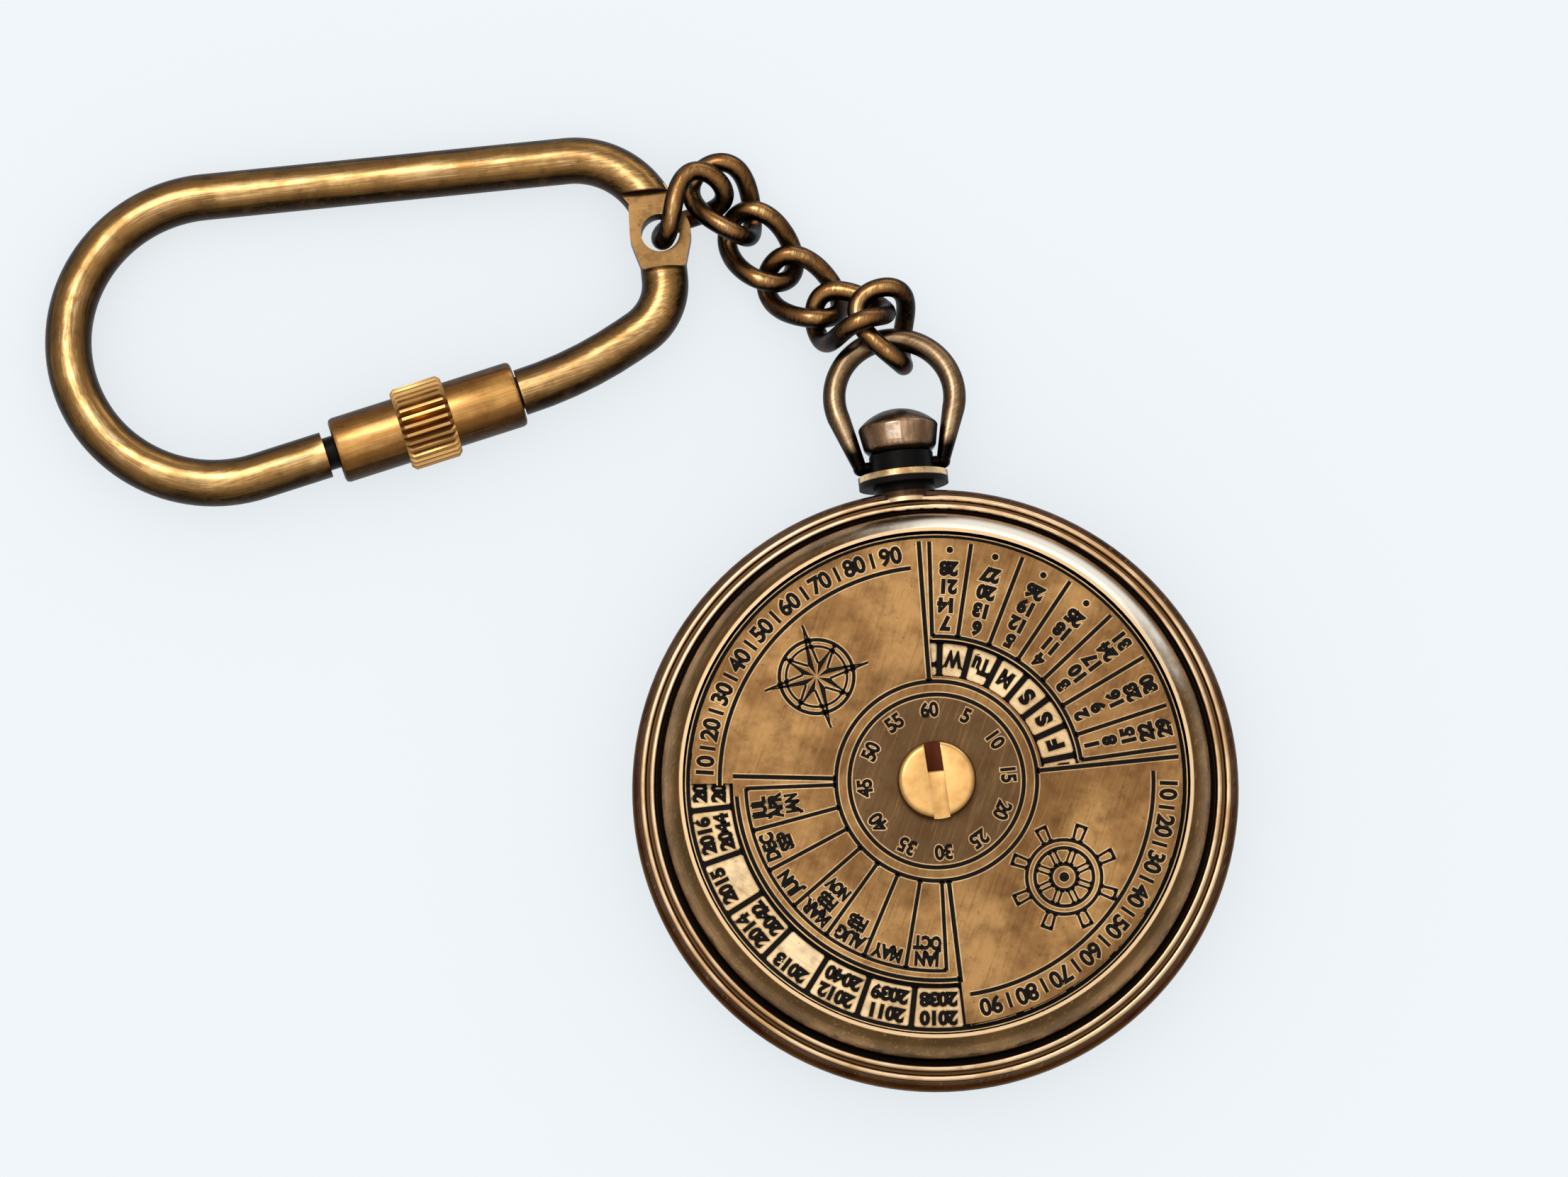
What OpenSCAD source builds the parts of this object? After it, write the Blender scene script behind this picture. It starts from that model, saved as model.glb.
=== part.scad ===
// Long-term calendar in a pocket-watch case, on a curb chain with a screw-lock key shackle.
// Millimetres. The case lies on its back, dial up, and +Y runs out through the pendant.

/* [Case] */
// Width of the case's rim outside the bezel
rim_w = 2.1; // [1.8:0.1:3]
// Height of the widest line of the case above its back
equator_z = 4; // [3.7:0.1:4.3]
// Radius of the rounded side
side_r = 4.6; // [4.4:0.1:5.2]
// Height of the shoulder that carries the bezel
shoulder_z = 5.7; // [5.5:0.1:6]
// Thickness of the two bead ridges on the shoulder
bead_d = 0.5; // [0.4:0.05:0.6]
// Distance between the two bead ridges
bead_pitch = 0.7; // [0.65:0.05:0.85]
// Width of the groove between the bezel and the inner bead ridge
groove_w = 0.3; // [0.2:0.05:0.35]
// Height of the step under the inner bead ridge
bead_step = 0.35; // [0.2:0.05:0.5]
// Height of the ledge that the discs lie on
ledge_z = 7.3; // [7:0.1:8]
// Width of the ledge
ledge_w = 1.45; // [1:0.05:4]
// Width of the case's rim round the back
back_rim_w = 4; // [3.6:0.1:5]
// Thickness of the back
back_t = 1.4; // [1.2:0.1:2]

/* [Bezel] */
// Width of the bezel
bezel_w = 1.7; // [1.4:0.1:2.2]
// Width of the flat lip along the bezel's bore
bezel_lip_w = 0.3; // [0.2:0.05:0.4]
// Gap between the year disc and the bezel
bezel_gap = 0.25; // [0.1:0.05:0.4]
// Straight height of the bezel's foot
bezel_foot = 0.4; // [0.2:0.1:0.6]
// Drop of the bezel's inner edge below the face of the date plate
bezel_drop = 0.25; // [0.1:0.05:0.6]

/* [Discs] */
// Diameter of the year disc
year_disc_d = 36.9; // [34:0.1:42]
// Width of the year disc's edge that shows round the date plate
year_edge_w = 0.35; // [0.2:0.05:0.8]
// Thickness of each disc
disc_t = 0.8; // [0.6:0.1:1]
// Turn of the date plate as it is set
plate_turn = -1; // [-180:1:180]
// Depth of the rim cut-out that shows the years
year_window_w = 3.1; // [2.5:0.1:3.6]
// Angle where the rim cut-out starts
year_window_from = 176; // [170:1:180]
// Angle that the rim cut-out covers
year_window_deg = 96; // [60:1:110]
// Inner radius of the arc slot that shows the days
day_slot_r = 7.8; // [7:0.1:8.5]
// Width of the arc slot
day_slot_w = 2.75; // [2:0.05:3]
// Angle where the arc slot starts
day_slot_from = 2; // [0:1:10]
// Angle that the arc slot covers
day_slot_deg = 87; // [60:1:90]

/* [Centre] */
// Diameter of the journal that the discs turn on
post_d = 4.2; // [3.8:0.1:5]
// Diameter of the foot of the post
post_foot_d = 8; // [7:0.5:10]
// Diameter of the post's tenon in the back
post_tenon_d = 3; // [2:0.1:4]
// Length of the post's tenon
post_tenon_l = 0.8; // [0.5:0.1:0.9]
// Diameter of the screw head
screw_head_d = 5.8; // [5.4:0.1:7]
// Height of the screw head
screw_head_h = 1.15; // [0.8:0.05:1.6]
// Width of the driver slot
screw_slot_w = 1.2; // [0.6:0.1:1.4]
// Depth of the driver slot
screw_slot_depth = 0.6; // [0.3:0.05:0.7]
// Turn of the driver slot as the screw is set
screw_turn = 2.5; // [-90:0.5:90]
// Diameter of the screw's shank
screw_d = 2.4; // [1.8:0.1:2.8]
// Length of the screw's shank
screw_l = 4.5; // [3:0.1:5.5]
// Thickness of the spring washer's sheet
spring_t = 0.25; // [0.15:0.05:0.35]
// Free height of the spring washer
spring_h = 0.75; // [0.5:0.05:0.9]

/* [Pendant] */
// Diameter of the boss on the case
boss_d = 4.6; // [4:0.1:5]
// Length of the boss past the case
boss_l = 0.4; // [0.3:0.1:1]
// Diameter of the collar
collar_d = 6.7; // [6:0.1:7.4]
// Thickness of the collar
collar_t = 0.9; // [0.6:0.1:1.1]
// Diameter of the neck that holds the bow
neck_d = 4.8; // [4.4:0.1:5.2]
// Length of the neck
neck_l = 1.5; // [1.4:0.1:2.4]
// Diameter of the tenon in the case
tenon_d = 2.8; // [2.2:0.1:3.2]
// Length of the tenon in the case
tenon_l = 3; // [2:0.1:3.4]
// Overhang of the crown past the neck
crown_lip_w = 0.3; // [0.1:0.05:0.4]
// Length of the crown
crown_l = 3.5; // [3:0.1:4]
// Growth of the crown's radius along its side
crown_flare_w = 0.55; // [0:0.05:0.6]
// Radius of the crown's domed end
crown_dome_r = 4; // [3.2:0.1:6]
// Height of the bevel under the crown
crown_bevel = 0.5; // [0.2:0.1:0.8]
// Diameter of the crown's stem
crown_stem_d = 1.6; // [1.2:0.1:2]
// Length of the crown's stem
crown_stem_l = 1.2; // [0.8:0.1:1.5]

/* [Bow] */
// Thickness of the bow's wire
bow_wire_d = 1.7; // [1.4:0.05:2]
// Radius of the bow, at the middle of its wire
bow_r = 4.5; // [4.3:0.1:5.5]
// Distance from the pivot to the middle of the bow's arc
bow_reach_l = 5.35; // [5:0.05:6.5]
// Thickness of the bow's legs at the knuckles
bow_leg_d = 1; // [0.9:0.05:1.2]
// Diameter of the bow's knuckles
bow_knuckle_d = 1.1; // [1:0.05:1.3]
// Thickness of the bow's pins
bow_pin_d = 0.9; // [0.7:0.05:1]
// Length of the bow's pins in the neck
bow_pin_l = 1; // [0.6:0.1:1.2]
// Droop of the bow as it lies
bow_droop = 7; // [0:0.5:12]

/* [Chain] */
// Thickness of the chain wire
wire_d = 1.45; // [1.3:0.05:1.5]
// Inner length of a link
link_inner_l = 4.75; // [4.5:0.05:5.2]
// Inner width of a link
link_inner_w = 2.85; // [2.7:0.05:3.2]
// Rise of a link's curb twist
link_rise_h = 1; // [0.9:0.05:1.1]
// Play between two links
link_play_l = 0.15; // [0.1:0.05:0.3]

/* [Shackle] */
// Thickness of the shackle's rod
rod_d = 3.5; // [3:0.1:3.8]
// Length of the gate's straight, with the lock sleeve in it
gate_l = 20.6; // [19.6:0.1:23]
// Slope of the gate against the top bar
gate_slope = 12.4; // [8:0.2:14]
// Angle of the gentle bend behind the gate
gate_bend = 17; // [10:1:24]
// Radius of the gentle bend
gate_bend_r = 30; // [20:1:36]
// Length of the straight between the gentle bend and the tight one
slant_l = 1; // [0.5:0.1:3]
// Radius of the tight bend before the eye
throat_r = 4.5; // [4:0.1:5.5]
// Radius of the corner between the eye and the top bar
corner_r = 6.5; // [6:0.1:7.5]
// Radius of the wide bend
loop_r = 11.1; // [10.5:0.1:12]
// Width of the eye
eye_w = 4.6; // [4.2:0.1:5.4]
// Thickness of the flattened eye
eye_t = 1.7; // [1.4:0.1:2]
// Diameter of the hole in the eye
eye_hole_d = 2.9; // [2.6:0.1:3.2]
// Length of the flat below the hole
eye_flat_below = 2.8; // [2.4:0.1:3.4]
// Length of the flat above the hole
eye_flat_above = 3.2; // [2.4:0.1:3.4]
// Height of the eye above the table
eye_z = 2.5; // [2.4:0.05:3]

/* [Lock sleeve] */
// Length of the sleeve
sleeve_l = 14.3; // [13:0.1:15]
// Diameter of the plain barrel
sleeve_d = 5; // [4.6:0.1:5.4]
// Diameter of the knurled band
knurl_d = 6.3; // [5.8:0.1:6.8]
// Length of the knurled band
knurl_l = 3.95; // [3:0.05:5]
// Distance from the sleeve's thread end to the knurled band
knurl_from = 5.05; // [3:0.05:6]
// Number of ribs round the knurled band
knurl_ribs = 30; // [18:1:40]
// Depth of the grooves between the ribs
knurl_depth = 0.35; // [0.1:0.05:0.5]
// Diameter of the stud and of the spindle in the sleeve
stud_d = 2.5; // [2:0.1:2.8]
// Bare length of the stud between the rod and the sleeve
stud_gap = 0.8; // [0.4:0.1:1.2]
// Length of the stud inside the sleeve
stud_l = 4.5; // [3:0.1:5]
// Diameter of the spindle's head
spindle_head_d = 3.4; // [3:0.1:3.8]
// Thickness of the spindle's head
spindle_head_t = 1.2; // [0.8:0.1:1.6]
// Length of the spindle up to its head
spindle_l = 5; // [4:0.1:6]

/* [Fits] */
// Radial clearance of a running fit
run_fit = 0.05; // [0.02:0.01:0.08]
// Gap between faces that turn on each other
face_gap = 0.05; // [0.03:0.01:0.1]
// Gap between pieces that pass each other freely
free_gap = 0.15; // [0.1:0.05:0.3]

/* [Hidden] */
$fn = 64;
bury = 1;
bezel_bore_d = year_disc_d + 2 * bezel_gap;
bezel_d = bezel_bore_d + 2 * bezel_w;
date_plate_d = year_disc_d - 2 * year_edge_w;
year_window_r = date_plate_d / 2 - year_window_w;
case_r = bezel_d / 2 + rim_w;
cavity_d = year_disc_d - 2 * ledge_w;
back_d = 2 * (case_r - back_rim_w);
crown_d = neck_d + 2 * crown_lip_w;
brass = "#a8814d";
dark_brass = "#5a4330";
raw_brass = "#d9b566";

// Heights of the stack on the ledge
year_z = ledge_z + face_gap;
plate_z = year_z + disc_t + face_gap;
plate_top = plate_z + disc_t;
post_top = plate_top + face_gap;
bezel_top = plate_top - bezel_drop;
spring_z = year_z - face_gap - spring_h;

// Bezel arc: upright at the foot's edge and through the lip's outer edge
bezel_arc_z = shoulder_z + bezel_foot;
bezel_arc_h = bezel_top - bezel_arc_z;
bezel_arc_w = bezel_w - bezel_lip_w;
bezel_arc_r = (bezel_arc_w * bezel_arc_w + bezel_arc_h * bezel_arc_h) / (2 * bezel_arc_w);

// Bead ridges on the shoulder, outside the groove round the bezel
inner_bead_r = bezel_d / 2 + groove_w + bead_d / 2;
outer_bead_r = inner_bead_r + bead_pitch;

// Places along the pendant's axis
boss_end = case_r + boss_l;
collar_end = boss_end + collar_t;
neck_end = collar_end + neck_l;
bow_pivot_y = collar_end + neck_l / 2;
knuckle_x = neck_d / 2 + free_gap + bow_knuckle_d / 2;
// The bow's legs run from the knuckles to where they touch its arc
bow_leg_deg = atan2(bow_reach_l, knuckle_x) - acos(bow_r / norm([bow_reach_l, knuckle_x]));
bow_steps = 24;
bow_sides = 16;

bow_rings = [
    flat_ring([knuckle_x, 0], 90 - bow_leg_deg, bow_leg_d, bow_sides),
    for (k = [0:bow_steps])
        let (t = -bow_leg_deg + (180 + 2 * bow_leg_deg) * k / bow_steps)
        flat_ring([0, bow_reach_l] + bow_r * [cos(t), sin(t)], t + 90, bow_wire_d, bow_sides),
    flat_ring([-knuckle_x, 0], 270 + bow_leg_deg, bow_leg_d, bow_sides)
];

// Curb link: the middle line of its wire and its place in the chain
link_a = (link_inner_l + wire_d) / 2;
link_b = (link_inner_w + wire_d) / 2;
link_pitch = link_inner_l - link_play_l;
link_flat_z = link_rise_h + wire_d / 2;
link_rings = 36;
link_sides = 10;
links = 6;
// Where the chain hangs on the bow, as an angle on the bow's arc
hook_deg = 82;
hook_y = bow_reach_l + bow_r * sin(hook_deg);
hook = [bow_r * cos(hook_deg), bow_pivot_y + hook_y * cos(bow_droop)];
// Steps over the table from the hook to each link and on to the eye, in pitches
route = [[-0.11, 0.2], [-0.66, 0.24], [-0.66, 0.56], [-0.62, 0.77], [-0.48, 0.79], [-0.65, -0.06], [-0.48, -0.38]];
// Lift of each link above its flat-lying height, in pitches
lifts = [0.32, 0.36, 0.01, 0.01, 0.17, 0.303];
// Roll, dip and heading of each link as it lies
lies = [[42, -22, 107], [28, 37, 167], [7, 5, 137], [0, 0, 122], [24, -5, 117], [112, 16, -138]];
function route_sum(n) = n < 0 ? [0, 0] : route[n] + route_sum(n - 1);
function link_place(n) = let (p = hook + link_pitch * route_sum(n)) [p[0], p[1], link_flat_z + link_pitch * lifts[n]];

function unit(v) = v / norm(v);
function link_point(t) = [link_a * cos(t), link_b * sin(t), -link_rise_h * sin(2 * t)];
function link_tangent(t) = unit([-link_a * sin(t), link_b * cos(t), -2 * link_rise_h * cos(2 * t)]);
function link_ring(t) =
    let (p = link_point(t), w = link_tangent(t), out = unit([p[0], p[1], 0]))
    wire_ring(p, w, unit(out - (out * w) * w), wire_d, link_sides);

// Points round a wire at p that runs along w, starting on its side n
function wire_ring(p, w, n, d, sides) =
    [for (k = [0:sides - 1]) let (s = 360 * k / sides) p + d / 2 * (cos(s) * n + sin(s) * cross(w, n))];
// The same for a wire bent in the XY plane, at a heading
function flat_ring(at, heading, d, sides) =
    wire_ring([at[0], at[1], 0], [cos(heading), sin(heading), 0], [-sin(heading), cos(heading), 0], d, sides);

// Bending table of the shackle, from the eye round to the eye: straight length, bend, bend radius
throat_bend = 90 - gate_slope - gate_bend;
throat_slope = gate_slope + gate_bend;
eye_l = loop_r * (1 + cos(gate_slope)) - gate_l * sin(gate_slope) - corner_r - throat_r * cos(throat_slope)
    - gate_bend_r * (cos(gate_slope) - cos(throat_slope)) - slant_l * sin(throat_slope);
top_l = gate_l * cos(gate_slope) + gate_bend_r * (sin(throat_slope) - sin(gate_slope))
    + throat_r * (1 - sin(throat_slope)) - corner_r + loop_r * sin(gate_slope) + slant_l * cos(throat_slope);
bends = [
    [0, 90, corner_r],
    [top_l, 180 + gate_slope, loop_r],
    [gate_l, gate_bend, gate_bend_r],
    [slant_l, throat_bend, throat_r],
    [eye_l, 0, 0]
];
gate_row = 2;
function bend_heading(n) = n == 0 ? 90 : bend_heading(n - 1) + bends[n - 1][1];
function along(deg, l) = l * [cos(deg), sin(deg)];
function bend_start(n) = run_start(n) + along(bend_heading(n), bends[n][0]);
function bend_middle(n) = bend_start(n) + along(bend_heading(n) + 90, bends[n][2]);
function run_start(n) = n == 0 ? [0, 0] : bend_middle(n - 1) + along(bend_heading(n) - 90, bends[n - 1][2]);

// Gate: where its two rod ends stop and the sleeve starts
gate_start = run_start(gate_row);
gate_dir = bend_heading(gate_row) - 360;
sleeve_end_gap = free_gap;
gate_left_l = gate_l - sleeve_l - stud_gap - 2 * sleeve_end_gap;
sleeve_from = gate_left_l + stud_gap;
spindle_from = sleeve_from + sleeve_l + sleeve_end_gap;
knurl_middle = gate_start + along(gate_dir, sleeve_from + knurl_from + knurl_l / 2);

// Rings along the rod, from the spindle's end of the gate round to the stud's end
rod_sides = 24;
rod_step = 9;
function rod_ring(at, heading) = flat_ring(at, heading, rod_d, rod_sides);
function bend_rings(n) = let (steps = ceil(bends[n][1] / rod_step)) [
    for (k = [0:steps])
        let (h = bend_heading(n) + bends[n][1] * k / steps)
        rod_ring(bend_middle(n) + along(h - 90, bends[n][2]), h)
];
rod_rings = [
    rod_ring(gate_start + along(gate_dir, spindle_from), gate_dir),
    for (n = [2, 3, 0, 1]) each bend_rings(n),
    rod_ring(gate_start + along(gate_dir, gate_left_l), gate_dir)
];

// The shackle leans on its wide bend, on the knurled band and on the chain at its eye
eye = [each (hook + link_pitch * route_sum(links)), eye_z];
lean_at = bend_middle(1) + along(100, loop_r);
lean_drop = rod_d / 2 + face_gap - eye_z;
knurl_lift = knurl_d / 2 + face_gap - eye_z;
lean_det = lean_at[0] * knurl_middle[1] - lean_at[1] * knurl_middle[0];
lean_x = (lean_drop * knurl_middle[1] - knurl_lift * lean_at[1]) / lean_det;
lean_y = (knurl_lift * lean_at[0] - lean_drop * knurl_middle[0]) / lean_det;
shackle_dip = -asin(lean_x);
shackle_roll = asin(lean_y / cos(shackle_dip));

module ring(r, w, z, h, from = 0, deg = 360) {
    rotate([0, 0, from]) rotate_extrude(angle = deg) translate([r, z]) square([w, h]);
}

module along_y(y, z = equator_z) {
    translate([0, y, z]) rotate([-90, 0, 0]) children();
}

module case_body() {
    color(dark_brass) difference() {
        union() {
            rotate_extrude() {
                intersection() {
                    translate([case_r - side_r, equator_z]) circle(side_r);
                    square([case_r, shoulder_z]);
                }
                square([case_r - side_r, shoulder_z]);
                square([bezel_bore_d / 2 - run_fit, ledge_z]);
                translate([inner_bead_r - bead_d / 2, 0]) square([bead_d, shoulder_z + bead_step]);
                translate([inner_bead_r, shoulder_z + bead_step]) circle(bead_d / 2);
                translate([outer_bead_r, shoulder_z]) circle(bead_d / 2);
            }
            along_y(case_r - bury) cylinder(d = boss_d, h = bury + boss_l);
        }
        translate([0, 0, back_t]) cylinder(d = cavity_d, h = ledge_z);
        translate([0, 0, -bury]) cylinder(d = back_d, h = back_t + bury);
        along_y(boss_end - tenon_l - free_gap) cylinder(d = tenon_d + 2 * run_fit, h = tenon_l + bury);
    }
}

module case_back() {
    color(dark_brass) difference() {
        cylinder(d = back_d - 2 * run_fit, h = back_t - face_gap);
        translate([0, 0, back_t - face_gap - post_tenon_l]) cylinder(d = post_tenon_d + 2 * run_fit, h = back_t);
    }
}

module bezel_ring() {
    color(brass) rotate_extrude() intersection() {
        union() {
            translate([bezel_d / 2 - bezel_arc_r, bezel_arc_z]) circle(bezel_arc_r);
            translate([bezel_bore_d / 2, shoulder_z]) square([bezel_w, bezel_foot]);
        }
        translate([bezel_bore_d / 2, shoulder_z]) square([bezel_w, bezel_top - shoulder_z]);
    }
}

module year_disc() {
    color(brass) difference() {
        translate([0, 0, year_z]) cylinder(d = year_disc_d, h = disc_t);
        translate([0, 0, year_z - bury]) cylinder(d = post_d + 2 * run_fit, h = disc_t + 2 * bury);
    }
}

module date_plate() {
    color(brass) rotate([0, 0, plate_turn]) difference() {
        translate([0, 0, plate_z]) cylinder(d = date_plate_d, h = disc_t);
        translate([0, 0, plate_z - bury]) {
            cylinder(d = post_d + 2 * run_fit, h = disc_t + 2 * bury);
            ring(year_window_r, date_plate_d, 0, disc_t + 2 * bury, year_window_from, year_window_deg);
            ring(day_slot_r, day_slot_w, 0, disc_t + 2 * bury, day_slot_from, day_slot_deg);
        }
    }
}

module pivot_post() {
    color(brass) difference() {
        union() {
            translate([0, 0, back_t - face_gap - post_tenon_l]) cylinder(d = post_tenon_d, h = post_tenon_l + bury);
            translate([0, 0, back_t - face_gap]) cylinder(d = post_foot_d, h = spring_z - back_t + face_gap);
            translate([0, 0, back_t]) cylinder(d = post_d, h = post_top - back_t);
        }
        translate([0, 0, post_top - screw_l - free_gap]) cylinder(d = screw_d + 2 * run_fit, h = screw_l + bury);
    }
}

module spring_washer() {
    inner_r = post_d / 2 + run_fit;
    outer_r = post_foot_d / 2;
    cone_h = spring_h - spring_t;
    color(raw_brass) translate([0, 0, spring_z]) rotate_extrude() polygon([
        [outer_r, 0], [outer_r, spring_t], [inner_r, cone_h + spring_t], [inner_r, cone_h]
    ]);
}

module centre_screw() {
    round_r = screw_head_h / 2;
    color(raw_brass) difference() {
        union() {
            translate([0, 0, post_top - screw_l]) cylinder(d = screw_d, h = screw_l + bury / 2);
            translate([0, 0, post_top]) rotate_extrude() {
                square([screw_head_d / 2, screw_head_h - round_r]);
                square([screw_head_d / 2 - round_r, screw_head_h]);
                intersection() {
                    translate([screw_head_d / 2 - round_r, screw_head_h - round_r]) circle(round_r);
                    square([screw_head_d, screw_head_h]);
                }
            }
        }
        translate([0, 0, post_top + screw_head_h - screw_slot_depth]) rotate([0, 0, screw_turn])
            translate([-screw_slot_w / 2, -screw_head_d, 0]) cube([screw_slot_w, 2 * screw_head_d, screw_head_h]);
    }
}

module pendant_collar() {
    color(brass) difference() {
        along_y(boss_end) cylinder(d = collar_d, h = collar_t);
        along_y(boss_end - bury) cylinder(d = tenon_d + 2 * run_fit, h = collar_t + 2 * bury);
    }
}

module pendant_neck() {
    color(dark_brass) difference() {
        union() {
            along_y(collar_end) cylinder(d = neck_d, h = neck_l);
            along_y(boss_end - tenon_l) cylinder(d = tenon_d, h = tenon_l + collar_t + bury / 2);
        }
        translate([-neck_d, bow_pivot_y, equator_z]) rotate([0, 90, 0])
            cylinder(d = bow_pin_d + 2 * run_fit, h = 2 * neck_d);
        along_y(neck_end - crown_stem_l - free_gap) cylinder(d = crown_stem_d + 2 * run_fit, h = crown_stem_l + bury);
    }
}

module crown() {
    base_r = crown_d / 2 - crown_bevel;
    color(brass) {
        along_y(neck_end) cylinder(r1 = base_r, r2 = crown_d / 2, h = crown_bevel);
        intersection() {
            along_y(neck_end + crown_bevel)
                cylinder(r1 = crown_d / 2, r2 = crown_d / 2 + crown_flare_w, h = crown_l - crown_bevel);
            along_y(neck_end + crown_l - crown_dome_r) sphere(crown_dome_r);
        }
        along_y(neck_end - crown_stem_l) cylinder(d = crown_stem_d, h = crown_stem_l + crown_bevel / 2);
    }
}

// Closed surface over rings of points, as a loop or with two flat ends
module skin(rings, loop = false) {
    sides = len(rings[0]);
    count = len(rings);
    sleeve = [
        for (n = [0:count - (loop ? 1 : 2)]) for (k = [0:sides - 1])
            let (m = (n + 1) % count, j = (k + 1) % sides)
            let (p = n * sides + k, q = n * sides + j, r = m * sides + j, s = m * sides + k)
            each [[p, r, q], [p, s, r]]
    ];
    last = (count - 1) * sides;
    ends = loop ? [] : [for (k = [1:sides - 2]) each [[0, k, k + 1], [last, last + k + 1, last + k]]];
    polyhedron([for (r = rings) each r], concat(sleeve, ends));
}

// Knuckle at the foot of one leg, and its pin into the neck
module bow_foot() {
    translate([knuckle_x, 0, 0]) sphere(d = bow_knuckle_d);
    translate([neck_d / 2 - bow_pin_l, 0, 0]) rotate([0, 90, 0])
        cylinder(d = bow_pin_d, h = knuckle_x - neck_d / 2 + bow_pin_l);
}

module bow() {
    color(brass) translate([0, bow_pivot_y, equator_z]) rotate([-bow_droop, 0, 0]) {
        skin(bow_rings);
        bow_foot();
        mirror([1, 0, 0]) bow_foot();
    }
}

module chain_link(n) {
    rings = [for (k = [0:link_rings - 1]) link_ring(360 * k / link_rings)];
    color(brass) translate(link_place(n)) rotate(lies[n]) skin(rings, true);
}

module on_gate(from) {
    translate(gate_start) rotate([0, 0, gate_dir]) translate([from, 0, 0]) rotate([0, 90, 0]) children();
}

module as_it_lies() {
    translate(eye) rotate([shackle_roll, shackle_dip, 0]) children();
}

module flat_cut() {
    flat_w = eye_w + rod_d;
    for (side = [0, 1]) mirror([0, 0, side])
        translate([-flat_w / 2, -eye_flat_below, eye_t / 2]) cube([flat_w, eye_flat_below + eye_flat_above, rod_d]);
}

// Outline of the flattened eye, from rod width to rod width past the hole
module eye_outline() {
    end_deg = eye_flat_above / corner_r * 180 / PI;
    end_w = rod_d - 2 * free_gap;
    hull() {
        circle(d = eye_w);
        translate([-end_w / 2, -eye_flat_below]) square([end_w, free_gap]);
        translate(bend_middle(0)) rotate(end_deg) translate([corner_r - end_w / 2, -free_gap]) square([end_w, free_gap]);
    }
}

module shackle() {
    color(brass) as_it_lies() {
        difference() {
            union() {
                difference() {
                    skin(rod_rings);
                    flat_cut();
                }
                translate([0, 0, -eye_t / 2]) linear_extrude(eye_t) eye_outline();
            }
            translate([0, 0, -rod_d]) cylinder(d = eye_hole_d, h = 2 * rod_d);
        }
        on_gate(gate_left_l - bury) cylinder(d = stud_d, h = bury + stud_gap + stud_l);
        on_gate(spindle_from - spindle_l) cylinder(d = stud_d, h = spindle_l + bury);
        on_gate(spindle_from - spindle_l) cylinder(d = spindle_head_d, h = spindle_head_t);
    }
}

module knurl() {
    difference() {
        circle(d = knurl_d);
        for (k = [0:knurl_ribs - 1]) rotate(360 * k / knurl_ribs)
            translate([knurl_d / 2, 0]) rotate(45) square(knurl_depth * sqrt(2), center = true);
    }
}

module lock_sleeve() {
    head_room = spindle_head_t + 2 * free_gap;
    head_from = sleeve_l + sleeve_end_gap - spindle_l - free_gap;
    color(brass) as_it_lies() on_gate(sleeve_from) difference() {
        union() {
            cylinder(d = sleeve_d, h = sleeve_l);
            translate([0, 0, knurl_from]) linear_extrude(knurl_l) knurl();
        }
        translate([0, 0, -bury]) cylinder(d = stud_d + 2 * run_fit, h = sleeve_l + 2 * bury);
        translate([0, 0, head_from]) cylinder(d = spindle_head_d + 2 * run_fit, h = head_room);
    }
}

case_body();
case_back();
bezel_ring();
year_disc();
date_plate();
pivot_post();
spring_washer();
centre_screw();
pendant_collar();
pendant_neck();
crown();
bow();
for (n = [0:links - 1])
    chain_link(n);
shackle();
lock_sleeve();
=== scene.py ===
import bpy
import math
from mathutils import Matrix, Vector


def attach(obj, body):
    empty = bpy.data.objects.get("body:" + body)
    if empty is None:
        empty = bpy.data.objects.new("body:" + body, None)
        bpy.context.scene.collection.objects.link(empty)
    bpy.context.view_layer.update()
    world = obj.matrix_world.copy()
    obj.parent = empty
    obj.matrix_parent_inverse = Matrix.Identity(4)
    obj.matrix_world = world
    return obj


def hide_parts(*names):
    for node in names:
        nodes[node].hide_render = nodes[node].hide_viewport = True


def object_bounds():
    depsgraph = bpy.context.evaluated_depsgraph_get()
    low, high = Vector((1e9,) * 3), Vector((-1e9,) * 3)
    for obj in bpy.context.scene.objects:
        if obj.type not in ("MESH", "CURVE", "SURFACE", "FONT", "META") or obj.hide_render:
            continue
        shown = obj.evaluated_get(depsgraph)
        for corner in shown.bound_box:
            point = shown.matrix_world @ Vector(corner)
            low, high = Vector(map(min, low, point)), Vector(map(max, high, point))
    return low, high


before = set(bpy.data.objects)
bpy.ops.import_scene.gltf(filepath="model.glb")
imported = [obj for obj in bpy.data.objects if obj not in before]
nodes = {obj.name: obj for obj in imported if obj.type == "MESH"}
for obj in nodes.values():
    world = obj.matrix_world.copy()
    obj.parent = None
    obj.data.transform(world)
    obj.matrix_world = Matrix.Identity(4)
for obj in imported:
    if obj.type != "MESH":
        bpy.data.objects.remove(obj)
cadLow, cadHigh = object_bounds()
mm = 0.001
axisR = 0.02  # a turned profile starts this far from its axis, in mm
print("frame loaded:", len(nodes), "nodes")


# small helpers

def deselectAll():
    bpy.ops.object.select_all(action="DESELECT")


def makeActive(obj):
    deselectAll()
    obj.select_set(True)
    bpy.context.view_layer.objects.active = obj


def newPiece(name):
    obj = bpy.context.object
    obj.name = name
    obj.data.name = name
    return obj


def editMode(obj, what="FACE"):
    makeActive(obj)
    bpy.ops.object.mode_set(mode="EDIT")
    bpy.ops.mesh.select_mode(type=what)


def objectMode():
    bpy.ops.object.mode_set(mode="OBJECT")


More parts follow.
